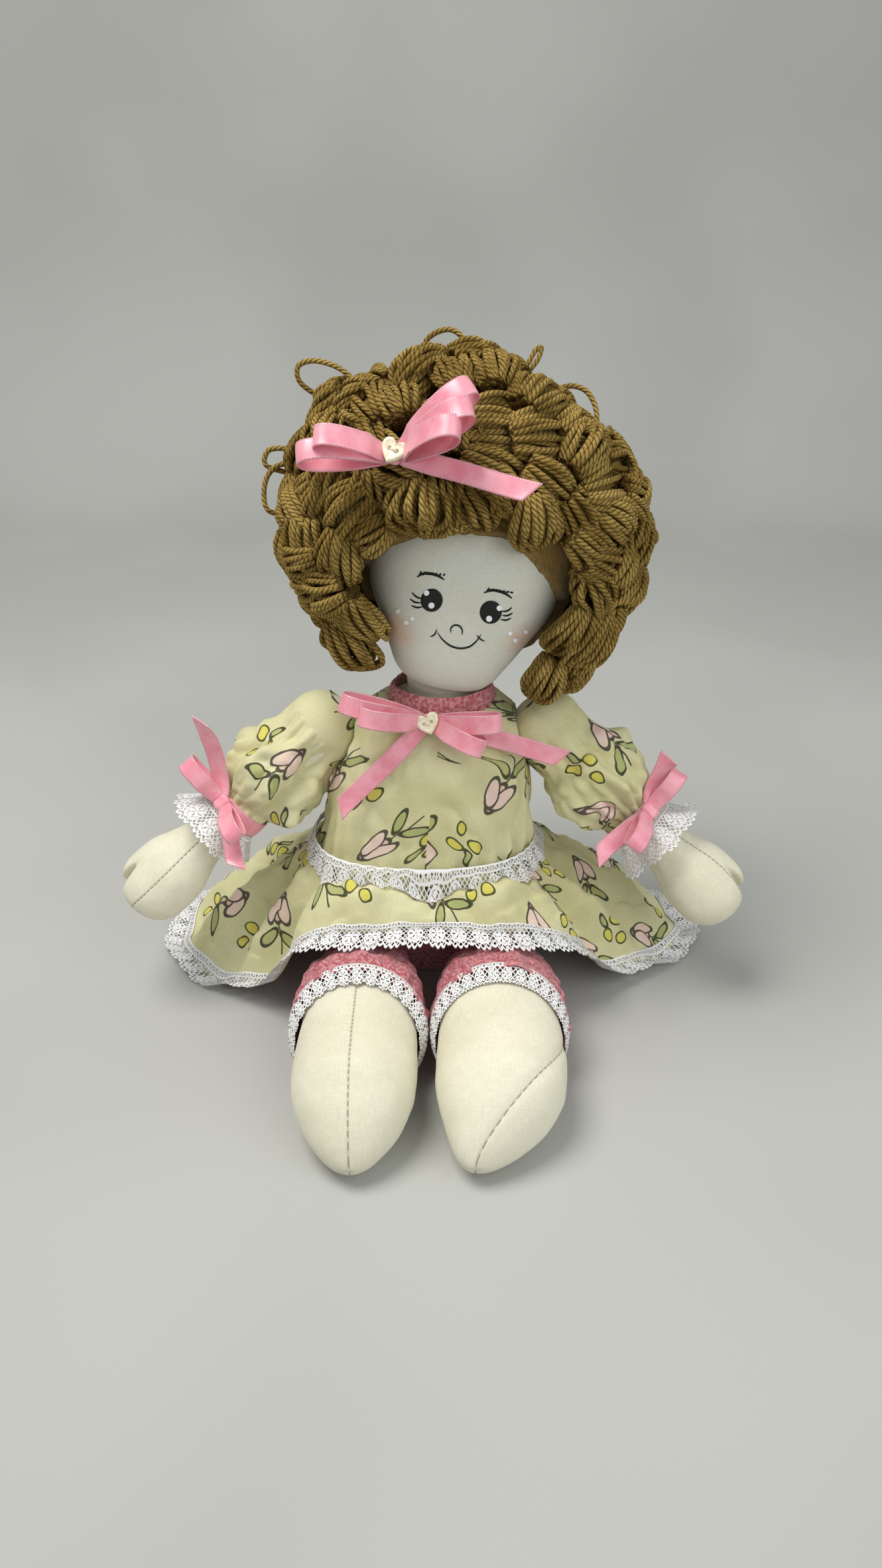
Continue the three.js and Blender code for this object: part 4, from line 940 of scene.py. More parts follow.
def make_arm(side, cloth):
    """Ball, upper arm and mitten hand with a notch in its tip in one closed form, with the thumb
    sewn on below."""
    limb = ARM_ROWS * (ARM_LENGTH, HAND_WIDTH / 2, HAND_DEPTH / 2)
    rows = np.concatenate([[[-SHOULDER, 0, 0]], ball_rows(SHOULDER), limb, [[ARM_LENGTH, 0, 0]]])
    shape = curve_rows(round_ends(rows), 120)
    along = shape[:, :1]
    angle = angles(96)
    grid = tube(shape, angle)
    outer = grid * (1, 1, 0) / np.maximum(np.linalg.norm(grid[..., :2], axis=-1, keepdims=True), 1)
    grid = grid + waves(grid, 30, 7 if side == "right" else 8)[..., None] * 0.35 * outer
    notch_at = 10.5 if side == "left" else -10.5
    notch = bell(grid[..., 0] - notch_at, 2.4) * ramp((grid[..., 2] - 112) / 22) ** 1.5
    grid[..., 2] -= 10 * notch
    grid[..., 1] *= 1 - 0.28 * notch
    crease = bell(along - 0.665 * ARM_LENGTH, 5) * puckers(angle, along, 11, 5) * 0.25
    grid = grid * (1 + crease[..., None] * (X + Y) / 16)
    seam = seam_map(shape[:, 1:2] * np.sin(angle + radians(110)), along)
    piece = solid(f"{side}_arm_stuffed", from_arm(side, grid), cloth, seam)
    carry(piece, f"{side}_arm", [f"{side}_arm"])

    up = np.linspace(-pi / 2, pi / 2, 34)[1:-1, None]
    radius = THUMB_RADIUS * np.cos(up)
    thumb = grid_of(radius * np.cos(angle), radius * np.sin(angle), THUMB_HALF * np.sin(up))
    c, s = np.cos(radians(15)), np.sin(radians(15))
    thumb = thumb @ np.array([[1, 0, 0], [0, c, s], [0, -s, c]])
    thumb = thumb + (0, -0.37 * HAND_DEPTH, 0.8 * ARM_LENGTH + THUMB_HALF)
    seam = seam_map(radius * np.sin(angle + pi / 2), THUMB_HALF * up)
    piece = solid(f"{side}_thumb_stuffed", from_arm(side, thumb), cloth, seam)
    carry(piece, f"{side}_arm", None)


def make_sleeve(side, cloth):
    """A cup over the ball, then a puff that is gathered into the armhole and the cuff: fine creases
    stand at both and fade towards its middle, and broad ones and dents run over it."""
    end, seed = SLEEVE_ENDS[side], 21 if side == "right" else 22
    thick = CLOTH / 2
    puff = np.array([[d * end] + [CUFF + f * (SLEEVE_RADIUS - CUFF) - thick] * 2 for d, f in SLEEVE_ROWS])
    cup = ball_rows(SHOULDER + SEAM + CLOTH - thick)[1:]
    shape = curve_rows(straight_ends(np.concatenate([cup, puff])), 90)
    along = shape[:, :1]
    share = along / end
    angle = angles(192)
    gather = ramp((share - 0.3) / 0.4) * np.clip((1.02 - share) / 0.12, 0.25, 1)
    fine = np.where(along < 4, 0, puckers(angle, along, 19, seed) * 1.4 * gather)
    broad = puckers(angle, along * 2.5, 6, seed + 5) * 5.0 * ramp(np.sin(pi * ramp(share * 1.05)))
    broad = np.where(broad > 0, broad * 0.7, broad)
    head = np.clip(puckers(angle, along, 15, seed + 2), -0.2, 2) * 1.7 * bell(share - 0.13, 0.15)
    grid = tube(shape, angle, fine + broad + np.where(along < 1, 0, head))
    dents = ridges(grid * (1, 1, 0.6), 30, seed + 9) * 2.9 * ramp(share * 3) * ramp((1.1 - share) * 4)
    grid = from_arm(side, grid + dents[..., None] * (grid * (1, 1, 0)) / 22)
    cloth_piece(f"{side}_sleeve_puff", grid, cloth, 1.1, f"{side}_arm", f"{side}_sleeve")


def lace_table(grid, width):
    """Map of a lace strip: its middle's arc length in whole repeats, and the width across it."""
    ring = joined(grid)
    arc = arcs(ring[len(ring) // 2][None], 1)[0]
    repeat = width * LACE_REPEAT
    whole = max(round(arc[-1] / repeat), 1) * repeat
    return grid_of(arc / arc[-1] * whole, np.linspace(0, width, len(ring))[:, None]) * MM


def make_cuff(side, lace, satin):
    """A lace ruffle that flares and ripples more towards its edge, under a band of ribbon."""
    arm, sleeve, end = f"{side}_arm", f"{side}_sleeve_puff", SLEEVE_ENDS[side]
    folds, depth = 6, 1.9
    share = np.linspace(0, 1, 12)[:, None]
    angle = angles(240)
    ripple = (np.cos(folds * angle) + 0.4 * puckers(angle, share * 3, folds + 4, 31)) * depth * share
    reach = CUFF - 0.5 + 12 * share ** 1.2 + ripple
    lift = end + SEAM - 1.5 + share * 17 - 0.6 * share * np.sin(folds * angle)
    grid = from_arm(side, grid_of(reach * np.cos(angle), reach * np.sin(angle), lift))
    lace_edge(f"{side}_cuff_lace_ruffle", grid, lace, 15, arm, f"{side}_cuff_lace")

    share = np.linspace(-1, 1, 9)[:, None]
    angle = angles(120)
    radius = CUFF + 0.75 + 0.22 * puckers(angle, share * 6, 23, 33) - 0.25 * share ** 2
    band = grid_of(radius * np.cos(angle), radius * np.sin(angle), end - RIBBON / 2 - SEAM + share * 4.6)
    table = grid_of(np.linspace(0, 0.107, 121), share * RIBBON / 2 * MM)
    cloth_piece(f"{side}_cuff_band", from_arm(side, band), satin, 0.5, arm, f"{side}_cuff_ribbon",
                table)


# Bodice, collar, skirt and laces

def make_bodice(cloth):
    """The body's own outline grown by the cloth, sunk at the armholes, with gathers at the waist,
    tucks at the neckline and soft creases between."""
    foot, top = 84.3, 165.6
    height = np.linspace(foot, top, 80)[:, None]
    angle = angles(240)
    share = (height - foot) / (top - foot)
    gathers = puckers(angle, height, 26, 41) * 1.7 * ramp(1 - share * 1.8)
    tucks = puckers(angle, height * 0.6, 22, 43) * 0.8 * ramp(share * 3 - 2)
    grid = body_points(angle, height, 1.9 + 1.6 * np.sin(pi * share) + gathers + tucks)
    drag = ridges(grid * (1, 1, 0.5), 42, 42) * 2.0 * ramp(np.minimum(share, 1 - share) * 8)
    grid = grid + drag[..., None] * (grid - (-3, 12, 0)) * (1, 1, 0) / 45
    for centre in SHOULDERS.values():
        grid = dented(grid, centre, SHOULDER + CLOTH + 2 * SEAM + 0.9)
    cloth_piece("dress_bodice", grid, cloth, 1.0, "body", "bodice")


def make_collar(cloth):
    """A gathered band round the neck: it stands 5.5 mm over the neckline, higher in front, leans in
    by 1.6 mm, and at the front its foot runs down outside the bodice until it meets the cloth."""
    share = np.linspace(0, 1, 22)[:, None]
    angle = angles(200)
    low, _ = halved(
        np.full(200, 150.0), np.full(200, NECKLINE),
        lambda height: np.linalg.norm(body_points(angle, height, 1.9)[..., :2] - NECK[:2], axis=-1) > 26.4, 24)
    foot = low - SEAM
    height = foot + (NECKLINE + 5.5 + 4.2 * ramp(0.3 - np.sin(angle)) - foot) * share
    radius = 26.5 - 1.6 * share + 0.35 * puckers(angle, share * 4, 30, 51) + 0.7 * np.sin(pi * share)
    grid = grid_of(*round_section(radius, angle), height)
    piece = cloth_piece("collar_band", grid, cloth, 1.5, "body", "collar")
    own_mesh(piece)


# Height of the lap: the hips, half a thigh and the cloth between
LAP = 30 + 58.4 / 2 + 4.3
# The hem round from the front: shares of the skirt's half width and depth, and of the lap's height
HEM_STATIONS = np.array([
    [-0.03, -0.515, 1], [-0.23, -0.54, 0.99], [-0.43, -0.515, 0.9], [-0.61, -0.37, 0.24],
    [-0.82, -0.2, 0.03], [-1, 0.14, 0.03], [-0.92, 0.6, 0.03], [-0.5, 0.91, 0.03],
    [-0.03, 1, 0.03], [0.45, 0.91, 0.03], [0.86, 0.6, 0.03], [0.985, 0.27, 0.03],
    [0.87, 0.02, 0.03], [0.66, -0.18, 0.15], [0.43, -0.45, 0.83], [0.2, -0.54, 0.99]]) * (150, 97, LAP)
SKIRT_FOLDS = 14


def waist_ring(angle):
    return body_points(angle, WAIST - SEAM, 1.3)


def hem_line(columns):
    """The hem: a closed curve over the lap and down to the surface, lifted by the folds where low."""
    line = curve_rows(HEM_STATIONS, columns, closed=True)
    turn = np.arange(columns) / columns * 2 * pi
    lift = 5 * (1 + np.cos(SKIRT_FOLDS * turn)) / 2 * (1 - line[:, 2] / LAP)
    line[:, 2] = np.maximum(1.6, line[:, 2]) + lift
    return line


def skirt_surface(share, columns):
    """From the waist seam to the hem: a straight lerp that puffs up by 7 mm, with broad folds down
    its sides and back. Over the lap it dips under the waist lace and between the thighs and swells
    over each thigh; fine gathers fade from the waist, tucks and creases run below them. share is
    rows, or rows by columns."""
    turn = np.arange(columns) / columns * 2 * pi
    angle = FRONT - turn
    share = share[:, None] if share.ndim == 1 else share
    top, hem = waist_ring(angle), hem_line(columns)
    lap = ramp(hem[:, 2] / LAP * 1.25 - 0.25)
    arch = np.sin(pi * share)
    crease = np.cos(SKIRT_FOLDS * turn)
    fold = (3.5 + 5.5 * (1 - lap)) * share * crease * arch
    fold = fold + 1.3 * puckers(angle, share * 40, 44, 61) * ramp(share / 0.06) * np.exp(-share * 4.5)
    grid = top + (hem - top) * share[..., None] + outward(angle) * fold[..., None]
    x = grid[..., 0]
    thighs, between = bell(x + 38, 15) + bell(x - 32, 15), bell(x + 3, 9)
    puff = 7 * np.sin(pi * share ** (1 + 0.7 * lap))
    puff = puff + lap * arch * (4 * thighs - 8 * between) - 5.5 * lap * bell(share - 0.22, 0.13)
    puff = puff - 3 * (1 - lap) * arch * (1 - crease) / 2
    tucks = lap * 1.7 * puckers(angle, share * 22, 30, 64) * bell(share - 0.35, 0.3) * ramp(share / 0.1)
    rough = ridges(grid, 46, 62) * 3.3 * ramp(np.minimum(share, 1.05 - share) * 5)
    gathers = 1.2 * puckers(angle, share * 30, 40, 63) * ramp(share / 0.08) * np.exp(-share * 3.5)
    grid[..., 2] += puff + tucks + np.clip(rough, -1.6, 4) + gathers
    grid[..., 2] = np.maximum(grid[..., 2], 1.3)
    return grid


def gathered_map(grid, row):
    """Map of a gathered cloth: one row's arc length across, each column's own arc length along."""
    ring = joined(grid)
    return grid_of(arcs(ring[row][None], 1)[0], -arcs(ring, 0)) * MM


def make_skirt(cloth, lace):
    """The skirt, and its hem lace: that is sewn on 1 mm over the hem, ripples and droops beyond it."""
    grid = skirt_surface(np.linspace(0, 1, 84), 448)
    cloth_piece("dress_skirt", grid, cloth, 1.1, "body", "skirt",
                gathered_map(grid, 50))

    columns = 540
    share = np.linspace(0, 1, 10)[:, None]
    turn = np.arange(columns) / columns
    out = outward(FRONT - turn * 2 * pi)
    ripple = np.cos(23 * 2 * pi * turn + 1.5 * np.sin(9 * pi * turn * 2)) * share
    hem = hem_line(columns)
    low = ramp(1 - hem[:, 2] / 20)
    beyond = hem + out * (0.6 + share * (10 + 4 * low))[..., None]
    droop = share * (1 + 5 * ramp((hem[:, 2] - 20) / 30) * share)
    wave = (0.6 - 0.3 * low) * (1 + ripple) * share
    beyond[..., 2] = np.maximum(0.9, beyond[..., 2] - droop) + wave
    on_skirt = skirt_surface(np.linspace(0.94, 0.995, 5), columns) + out * 0.8 + Z
    edge = np.concatenate([on_skirt, beyond])
    lace_edge("skirt_hem_lace", edge, lace, 14, "body", "skirt_lace")


def make_waist_lace(lace):
    """Lace sewn on over the waist seam: it lies on the bodice's foot, and slopes down over the
    skirt for 13 mm, raised by 5 (1 - t)^2 at its head and in shallow waves at its edge."""
    columns = 448
    angle = angles(columns)
    length = np.linalg.norm(hem_line(columns) - waist_ring(angle), axis=-1)
    t = np.linspace(0, 1, 14)[:, None]
    grid = skirt_surface(0.01 + t * 13 / length, columns) + outward(angle) * (1.2 + 2.2 * (1 - t))[..., None]
    grid[..., 2] += 1.9 + 5 * (1 - t) ** 2 + 0.45 * (1 + np.cos(19 * angle)) * t
    lace_edge("waist_lace_frill", grid, lace, 15, "body", "waist_lace")


# Bloomers and legs

HIPS = {"right": np.array([-38.3, -37.911, 30.0]), "left": np.array([32.3, -36.88, 30.0])}
LEG_LENGTH, LEG_DEPTH, TOE_DROP = 124, 52, 16
LEG_WIDTHS, TOE_TURNS = {"right": 60, "left": 63}, {"right": 0, "left": -14}
# Share of the length, of the width, of the depth and of the toe's drop
LEG_ROWS = np.array([
    [0.145, 0.84, 0.73, 0], [0.306, 0.93, 0.88, 0.05], [0.444, 0.97, 0.94, 0.08], [0.6, 1, 0.97, 0.09],
    [0.69, 0.99, 1, 0.18], [0.76, 0.94, 0.98, 0.22], [0.855, 0.77, 0.82, 0.44], [0.927, 0.54, 0.59, 0.69],
    [0.976, 0.29, 0.32, 0.9]])
# Distance from the hip, share of the width, and half depth
HIP_ROWS = [[-13.27, 0.38, 3.8], [-8.92, 0.54, 8.03], [-4.5, 0.64, 11.13], [0, 0.7, 12]]
# Distance from the hip, half width, half depth, shift in X and in Z, and slant
BLOOMER_ROWS = np.array([
    [-14.9, 5, 1.5, 0, 0, 0], [-13.6, 13.5, 5.2, 0, 0, 0], [-10.55, 19.2, 9.5, 0, 0, 0],
    [-5.3, 22.3, 13.1, 0, 0, 0], [0, 24.2, 14.1, 0, 0, 0], [17.8, 29.9, 23.6, 0, 0, 0],
    [35.6, 32.9, 27.6, 0, 0, 9.6], [54, 33.9, 28.4, 0, 0, 16]])
BLOOMER_LENGTH, BLOOMER_SLANT = 54, 16


def lying(rows, angle, folds=0.0):
    """Oval rings along -Y: distance, half width, half depth, shift in X, shift in Z and slant."""
    d, wide, deep, dx, dz, slant = (rows[:, k, None] for k in range(6))
    return grid_of(
        dx + (wide + folds) * np.cos(angle), -d + slant * np.sin(angle), dz + (deep + folds) * np.sin(angle))


def make_leg(side, cloth):
    """Hip seam, calf and rounded foot in one closed form, with a sewn seam over the foot."""
    half, turn = LEG_WIDTHS[side] / 2, TOE_TURNS[side]
    rows = [[-13.8, 0, 0, 0, 0, 0]] + [[d, w * half, z, 0, 0, 0] for d, w, z in HIP_ROWS]
    rows += [[d * LEG_LENGTH, w * half, t * LEG_DEPTH / 2, turn * drop ** 1.6, -drop * TOE_DROP, 0]
             for d, w, t, drop in LEG_ROWS]
    shape = curve_rows(round_ends(rows + [[LEG_LENGTH, 0, 0, turn, -TOE_DROP, 0]]), 130)
    angle = angles(110)
    grid = lying(shape, angle)
    away = grid - np.stack([shape[:, 3], -shape[:, 0], shape[:, 4]], -1)[:, None]
    away /= np.maximum(np.linalg.norm(away, axis=-1, keepdims=True), 1)
    share = ramp(shape[:, :1] / LEG_LENGTH)
    seam_at = pi / 2 + 0.02
    if side == "left":
        seam_at = radians(86) - radians(1) * np.minimum(150 * (1 - share) + 30 * (1 - share) ** 2, 95)
    off = angle - seam_at
    pinch = bell(np.abs(np.sin(off / 2)) * 2 * 28, 3.0)
    grid = grid - away * (pinch * 0.9 * ramp(share * 4))[..., None]
    stitch = puckers(share * 60, np.zeros(1), 3, 91) * pinch
    grid = grid + away * (waves(grid, 34, 92) * 0.45 + 0.25 * stitch)[..., None] + HIPS[side]
    grid[..., 2] = np.maximum(grid[..., 2], 0.6)
    seam = seam_map(shape[:, 1:2] * np.sin(off), shape[:, :1])
    piece = solid(f"{side}_leg_stuffed", grid, cloth, seam)
    carry(piece, f"{side}_leg", [f"{side}_leg"])


def make_bloomer_leg(side, cloth, lace):
    """A short puffed leg: rings that slant towards the hem, drawn in by fine gathers at its edge,
    and a lace frill that runs from inside the hem on to the leg and hugs it."""
    seed = 101 if side == "right" else 102
    shape = curve_rows(straight_ends(BLOOMER_ROWS), 64)
    along = shape[:, :1]
    share = ramp(along / BLOOMER_LENGTH)
    angle = angles(220)
    gathers = puckers(angle, along, 27, seed) * 0.8 * ramp((share - 0.35) * 1.8)
    folds = puckers(angle, along * 2, 7, seed + 3) * 0.8 * ramp(share * 1.5)
    folds = folds + ridges(lying(shape, angle), 30, seed + 4) * 1.6
    grid = lying(shape, angle, np.clip(gathers + folds, -1.0, 2.6)) + HIPS[side]
    grid[..., 2] = np.maximum(grid[..., 2], 0.6)
    leg, puff = f"{side}_leg", f"{side}_bloomer_puff"
    cloth_piece(puff, grid, cloth, 1.0, leg, f"{side}_bloomer_leg")

    angle = angles(300)
    rim = lying(BLOOMER_ROWS[-1:] + (0, 0.7, 0.7, 0, 0, 0), angle)
    head = lying(BLOOMER_ROWS[-1:] + (-3, 0.9, 0.9, 0, 0, 0), angle)
    down = BLOOMER_LENGTH + 6.5 - BLOOMER_SLANT * np.sin(angle)
    wide, deep, drop = (np.interp(down, LEG_ROWS[:, 0] * LEG_LENGTH, LEG_ROWS[:, k]) for k in (1, 2, 3))
    foot = np.stack([(wide * LEG_WIDTHS[side] / 2 + 1) * np.cos(angle), -down,
                     (deep * LEG_DEPTH / 2 + 1) * np.sin(angle) - drop * TOE_DROP], -1)
    step = np.linspace(0, 1, 8)[1:, None, None]
    edge = np.concatenate([head, (head + rim) / 2, rim, rim + (foot - rim) * step]) + HIPS[side]
    edge[3:, :, 1] += 0.6 * np.cos(30 * angle) * step[..., 0]
    edge[..., 2] = np.maximum(edge[..., 2], 0.5)
    lace_edge(f"{side}_bloomer_frill", edge, lace, 9, leg, f"{side}_bloomer_lace")


def make_seat(cloth):
    """The bloomers' bowl under the body, pressed flat where the doll sits, gathered towards its rim."""
    height = np.concatenate([np.full(5, 1.0), [1.3, 2.2], np.linspace(3.4, 61.4, 46)])[:, None]
    inward = np.concatenate([[-38, -28, -18, -10, -4.5, -1.5, 0.0], np.full(46, 1.2)])[:, None]
    angle = angles(200)
    gathers = puckers(angle, height, 30, 111) * 0.7 * ramp((height - 20) / 40)
    grid = body_points(angle, np.maximum(height, 2.66), inward + gathers)
    grid[..., 2] = height
    cloth_piece("bloomers_bowl", grid, cloth, 1.0, "body", "bloomers_seat")


# Ribbon bows and buttons. Loops and tails start this far out from the middle of the knot.

LOOP_START, TAIL_START = 2.6, 3.2


def bow_frame(place, normal):
    """A bow's own frame: Z out of the bow, X level."""
    normal = unit(np.asarray(normal, float))
    level = unit(np.cross(Z, normal))
    return lambda points: points @ np.array([level, np.cross(normal, level), normal]) + place


def cuff_bow_frame(side):
    """The bow on a cuff: its Y points up the arm and its Z out of the cuff's upper side."""
    place = (0, CUFF + SEAM + 0.6 + SEAM + 1.7, SLEEVE_ENDS[side] - RIBBON / 2 - SEAM)
    return lambda points: from_arm(side, points @ np.array([X, -Z, Y]) + place)


def strip(path, widths, cup):
    """A ribbon that stands on its edge along a path: widths are shares of its full width and cup is
    how far its middle bows out."""
    out = unit(np.cross(unit(np.gradient(path, axis=0)), Y))
    t = np.linspace(-1, 1, 13)[None, :, None]
    wide = widths[:, None, None] * RIBBON / 2
    grid = path[:, None] + Y * t * wide + out[:, None] * cup[:, None, None] * (1 - t ** 2)
    arc = arcs(path[None], 1)[0]
    return grid, grid_of(arc[:, None], t[..., 0] * RIBBON / 2) * MM


def turned(points, degrees):
    c, s = np.cos(radians(degrees)), np.sin(radians(degrees))
    return points @ np.array([[c, s, 0], [-s, c, 0], [0, 0, 1]])


def ribbon_loop(share, turn, swing, full, seed):
    """A loop leaves the knot, swells by 0.15 of its length and comes back beside itself; it is
    pinched at the knot and opens over the first 0.4 of its length."""
    length = share * full
    a = np.linspace(0, pi, 60)
    x = length * np.sin(a) ** 0.92
    z = length * 0.15 * np.sin(2 * a) + 0.6 * np.cos(a)
    c, s = np.cos(radians(swing)), np.sin(radians(swing))
    low = ramp((x - 4) / 9) ** 0.8
    path = np.stack([x * c - z * s, 0 * a, (x * s + z * c) * low], -1)
    random = np.random.default_rng(seed)
    near = ramp(x / (length * 0.4))
    path[:, 1] += random.uniform(-1.2, 1.2) * np.sin(a) ** 2
    cup = 1.5 * (1 - near) + 0.35 * np.sin(2 * a + random.uniform(0, 6)) * near
    grid, table = strip(path, 0.62 + 0.38 * near ** 0.6, cup)
    return turned(grid[x > LOOP_START], turn), table[x > LOOP_START]


def ribbon_tail(share, turn, rise, full, seed):
    """A tail lies behind the loops, rises with the square of the way along it, waves a little and is
    cut on the slant."""
    length = share * full
    x = np.linspace(TAIL_START, length, 50)
    way = (x - TAIL_START) / (length - TAIL_START)
    z = rise * length * (x / length) ** 2 - 1.3 + 0.5 * np.sin(way * 2 * pi) * way
    random = np.random.default_rng(seed)
    path = np.stack([x, 0.8 * np.sin(way * pi * 1.5 + random.uniform(0, 2)) * way, z], -1)
    cup = 1.1 * ramp(1 - way * 3) + 0.4 * np.sin(way * 9 + seed)
    grid, table = strip(path, 0.68 + 0.32 * ramp(way * 4) ** 0.6, cup)
    slant = np.linspace(-1, 1, 13)[:, None] * 3.2 * ramp(way - 0.8)[:, None, None] / 0.2
    return turned(grid + slant * X, turn), table


def ribbon_piece(name, place, parts, satin, body, nodes):
    grids = [place(grid) for grid, _ in parts]
    piece = sheets(name, grids, [table for _, table in parts], satin, 0.45)
    carry(piece, body, nodes)
    long = sum(arcs(grid[:, 6][None], 1).max() * MM for grid in grids)
    area = min(sum(area_of(grid) for grid in grids), LEAST_FLAT * long)


def make_knot(name, place, satin, body, nodes):
    """A wrapped knot: a rounded roll whose sections are squarish, creased along its length."""
    share = np.linspace(-1, 1, 36)[:, None]
    angle = angles(64)
    x, z = rounded(angle, 2.4)
    end = np.sqrt(np.clip(1.02 - np.abs(share) ** 8, 0.02, 1))
    size = (1 - 0.3 * share ** 4) * (1 + 0.03 * np.sin(angle * 7 + 2 * share)) * end
    table = grid_of(np.linspace(0, 0.018, 65), share * 0.0042)
    grid = place(grid_of(x * 3.5 * size, share * 4.5, z * 1.75 * size))
    carry(solid(name, grid, satin, {"cloth": table}), body, nodes)


def make_bow(name, place, satin, body, loops, loop_length, tails, tail_length, seed, one_node=False):
    """A bow of loops, tails and a knot, each with its own node unless the bow has one node for all."""
    knot = f"{name}_knot_wrap"
    for k, (side, shares) in enumerate(loops.items()):
        parts = [ribbon_loop(*one, loop_length, seed + 7 * k + j) for j, one in enumerate(shares)]
        nodes = [] if one_node else [f"{name}_{side}_loops"]
        ribbon_piece(f"{name}_{side}_ribbon_loops", place, parts, satin, body, nodes)
    for k, (tail, one) in enumerate(tails.items()):
        parts = [ribbon_tail(*one, tail_length, seed + 40 + k)]
        nodes = [] if one_node else [f"{name}_{tail}"]
        ribbon_piece(f"{name}_{tail}_ribbon", place, parts, satin, body, nodes)
    make_knot(knot, place, satin, body, [name if one_node else f"{name}_knot"])


def heart_edge(count):
    """A heart's outline from the two curves of its half, in half widths."""
    def bezier(p):
        t = np.linspace(0, 1, count, endpoint=False)[:, None]
        a, b, c, d = np.asarray(p, float)
        return (1 - t) ** 3 * a + 3 * t * (1 - t) ** 2 * b + 3 * t ** 2 * (1 - t) * c + t ** 3 * d
    half = np.concatenate([bezier([[0, -0.95], [0.5, -0.55], [1, -0.15], [1, 0.4]]),
                           bezier([[1, 0.4], [1, 0.95], [0.25, 1.05], [0, 0.5]])])
    return np.concatenate([half, [[0, 0.5]], half[:0:-1] * (-1, 1)])


def make_button(name, place, turn, cream, thread, body, node):
    """A heart button: a flat face inside a rounded rim, with two sewing holes and the thread over them."""
    edge, middle = heart_edge(22), np.array([0, 0.12])
    steps = np.concatenate([np.linspace(0.02, 0.78, 34), np.linspace(0.8, 1, 12)])
    drop = 1 - np.sqrt(ramp(1 - ramp((steps - 0.8) / 0.2) ** 2))
    top = 2.4 - 0.9 * drop - 0.35 * ramp(1 - (steps / 0.72) ** 6)
    flat = (middle + steps[:, None, None] * (edge - middle)) * 6
    upper, under = (grid_of(flat[..., 0], flat[..., 1], heights[:, None]) for heights in (top, 0.5 * drop))
    hole, level = 1.8, 0.37
    for side in (-hole, hole):
        near = np.linalg.norm(upper[..., :2] - (side, level), axis=-1)
        upper[..., 2] -= 1.5 * (1 / (1 + np.exp((near - 0.8) * 14)))
    grid = np.concatenate([upper, under[::-1]]) + (0, 0, 2.5)
    carry(solid(name, place(turned(grid, turn)), cream), body, [node])
    t = np.linspace(0, 1, 16)
    ring = angles(8)[None, :, None]
    for k, lean in enumerate((-0.22, 0.22)):
        path = np.stack([hole * (2 * t - 1), level + lean * (1 - 4 * (t - 0.5) ** 2),
                         4.55 + 0.42 * np.sin(pi * t) - 0.9 * (np.abs(2 * t - 1) ** 6)], -1)
        section = path[:, None] + 0.2 * (np.cos(ring) * Y + np.sin(ring) * Z)
        piece = solid(f"{name}_thread_{k}", place(turned(section, turn)), thread)
        carry(piece, body, None)


# Yarn hair

HAIR_HALF = np.array([95.0, 61.0, 92.0])
HAIR_MIDDLE = np.array([-6, 9, 71.03])
HAIR_TURN = leaning(radians(-13))
BOW_PLACE = HAIR_HALF * (-0.41, -0.77, 0.467)
# The solids' curls: azimuth from the front, elevation, depth in the hair and size
CURLS = {
    "fringe_middle": (10, 33, 0.7, 0.84), "fringe_right": (-36, 33, 0.7, 0.86),
    "fringe_left": (50, 30, 0.7, 0.92),
    "crown_right": (-74, 56, 0.7, 1), "crown_left": (66, 50, 0.68, 0.96), "crown_back": (180, 58, 0.7, 1.1),
    "temple_right": (-82, 20, 0.7, 1), "temple_left": (84, 14, 0.72, 1.12),
    "upper_back_right": (-130, 28, 0.7, 1.1), "upper_back_left": (130, 28, 0.7, 1.1),
    "cheek_right": (-80, -16, 0.72, 0.86), "cheek_left": (84, -20, 0.7, 1.04),
    "lower_back_right": (-128, -20, 0.7, 1.1), "lower_back_left": (128, -20, 0.7, 1.1),
    "nape": (180, -4, 0.7, 1.15), "shoulder_right": (-62, -37, 0.84, 0.74),
    "shoulder_left": (50, -44, 0.86, 0.78)}
# Bunches seen in the photograph: root pixel, direction (0 right, 90 down), half width and length in mm
FRONT_BUNCHES = [
    (848, 757, -4, 13, 46), (858, 832, 24, 13, 42), (752, 668, -14, 13, 36), (797, 738, 78, 12, 26),
    (745, 600, 272, 11, 27), (641, 566, 268, 13, 26), (672, 545, 305, 12, 26), (536, 616, 200, 13, 30),
    (592, 592, 228, 12, 27), (468, 712, 178, 13, 30), (474, 768, 128, 13, 31), (569, 732, 148, 14, 34),
    (641, 716, 98, 17, 23), (700, 728, 62, 12, 21), (838, 744, 40, 11, 30), (556, 700, 98, 9, 22),
    (536, 880, 152, 13, 33), (505, 925, 100, 12, 34), (528, 888, 98, 10, 30), (874, 900, 92, 10, 28),
    (470, 880, 150, 12, 30), (440, 800, 170, 12, 28), (900, 905, 84, 13, 36), (905, 890, 50, 13, 34),
    (872, 962, 92, 12, 26), (832, 975, 90, 10, 25), (930, 842, 24, 13, 32), (897, 692, -24, 13, 38),
    (908, 742, 4, 12, 36), (732, 702, 58, 10, 24), (784, 626, -52, 13, 30), (838, 652, -34, 13, 33),
    (491, 650, 190, 12, 27), (497, 830, 165, 12, 28), (520, 790, 120, 12, 28), (842, 796, 30, 12, 34),
    (690, 600, 265, 11, 24), (612, 640, 250, 11, 22), (930, 790, 12, 12, 34), (530, 592, 218, 11, 24),
    (850, 590, -60, 11, 26), (676, 652, -12, 13, 36), (686, 684, 22, 12, 32), (668, 690, 90, 11, 22),
    (780, 700, 30, 12, 28), (500, 720, 160, 12, 26), (592, 780, 150, 11, 24)]
